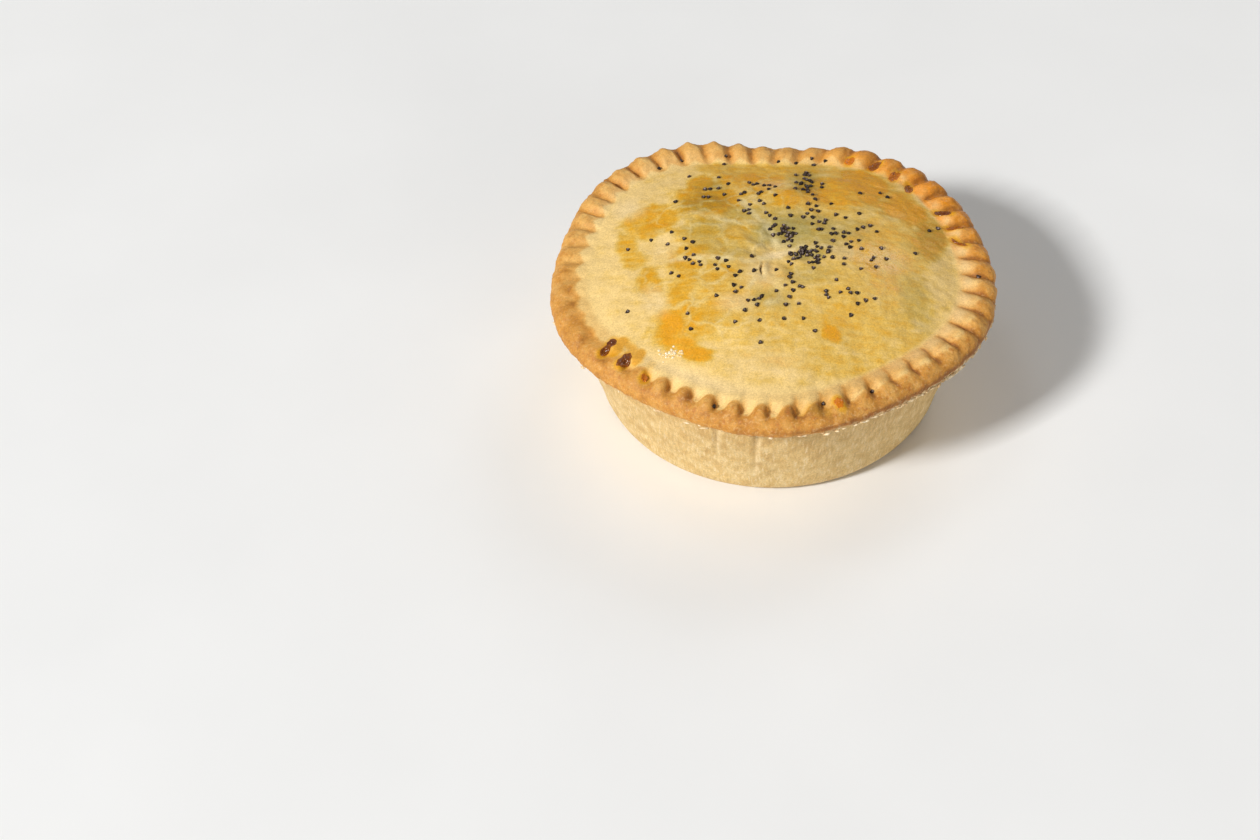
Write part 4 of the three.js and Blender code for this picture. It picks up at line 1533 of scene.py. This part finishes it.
# Studio

def build_camera():
    """The photograph's camera: it looks past the pie's middle, which lies right of the centre."""
    aim = Vector(CAMERA_AIM) * MM
    elevation = math.radians(CAMERA_ELEVATION)
    back = Vector((0, -math.cos(elevation), math.sin(elevation)))
    level = back.to_track_quat("Z", "Y").to_matrix()
    across = (CAMERA_AIM_PIXEL[0] - PHOTO_SIZE[0] / 2) / FOCAL_PIXELS
    down = (CAMERA_AIM_PIXEL[1] - PHOTO_SIZE[1] / 2) / FOCAL_PIXELS
    swing = Vector((0, 0, -1)).rotation_difference(Vector((across, -down, -1))).to_matrix()
    turn = level @ Matrix.Rotation(math.radians(-CAMERA_ROLL), 3, "Z") @ swing.transposed()
    data = bpy.data.cameras.new("camera")
    data.sensor_width = SENSOR_WIDTH
    data.lens = SENSOR_WIDTH * FOCAL_PIXELS / PHOTO_SIZE[0]
    data.clip_start = CLIP_START * MM
    camera = placed("camera", data)
    camera.matrix_world = Matrix.Translation(aim + back * CAMERA_DISTANCE * MM) @ turn.to_4x4()
    bpy.context.scene.camera = camera


def add_light(name, direction, distance, size, power):
    data = bpy.data.lights.new(name, "AREA")
    data.size = size
    data.energy = power
    light = placed(name, data)
    towards = Vector(direction).normalized()
    place = Vector(CAMERA_AIM) * MM + towards * distance
    turn = towards.to_track_quat("Z", "Y").to_matrix()
    light.matrix_world = Matrix.Translation(place) @ turn.to_4x4()


def build_floor():
    mesh = bpy.data.meshes.new("floor")
    corners = [(x * FLOOR_HALF, y * FLOOR_HALF, 0) for x, y in ((-1, -1), (1, -1), (1, 1), (-1, 1))]
    mesh.from_pydata(corners, [], [(0, 1, 2, 3)])
    mesh.materials.append(floor_material())
    floor = placed("floor", mesh)


def build_studio():
    for name, light in LIGHTS.items():
        add_light(name, *light)
    world = bpy.data.worlds.new("studio")
    world.use_nodes = True
    background = world.node_tree.nodes["Background"]
    background.inputs["Color"].default_value = WORLD_COLOUR
    background.inputs["Strength"].default_value = WORLD_STRENGTH
    bpy.context.scene.world = world
    bpy.context.scene.view_settings.view_transform = "Standard"
    build_floor()
    build_camera()


def build_pie():
    smooth, triangles = build_crust()
    vertices = roughen(smooth, triangles)
    stain = stain_mask(smooth)
    masks = {
        "wash": wash_mask(smooth),
        "brown_and_shade": brown_and_shade_mask(smooth),
        "pale_and_highlight": pale_and_highlight_mask(smooth) * (1 - stain),
        "stain": stain,
        "side": smooth.wall,
        "wrinkles": wrinkle_mask(smooth),
        "crease": crease_mask(smooth),
        "shade_and_tint": shade_and_tint_mask(smooth),
        "amber": amber_mask(smooth),
        "sheen": sheen_mask(smooth),
        "high": np.where(smooth.wall, smooth.height / SEAM_HEIGHT, 0),
        "freckle": freckle_mask(smooth),
        "painted_shade": painted_shade_mask(smooth),
    }
    crust = make_piece("crust", vertices, triangles, crust_material(), masks)
    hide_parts("pie")
    surface = Surface(vertices, triangles)
    seeds, seed_triangles, shades, tops = build_seeds(surface)
    make_piece("poppy_seeds", seeds, seed_triangles, seed_material(), {"shade": shades, "top": tops})
    gravy, gravy_triangles, tints = build_gravy(surface)
    make_piece("gravy_leaks", gravy, gravy_triangles, gravy_material(), {"tint": tints})
    make_piece("torn_flakes", *build_flakes(), flake_material())
    make_piece("wash_froth", *build_froth(surface), froth_material())


build_pie()
build_studio()
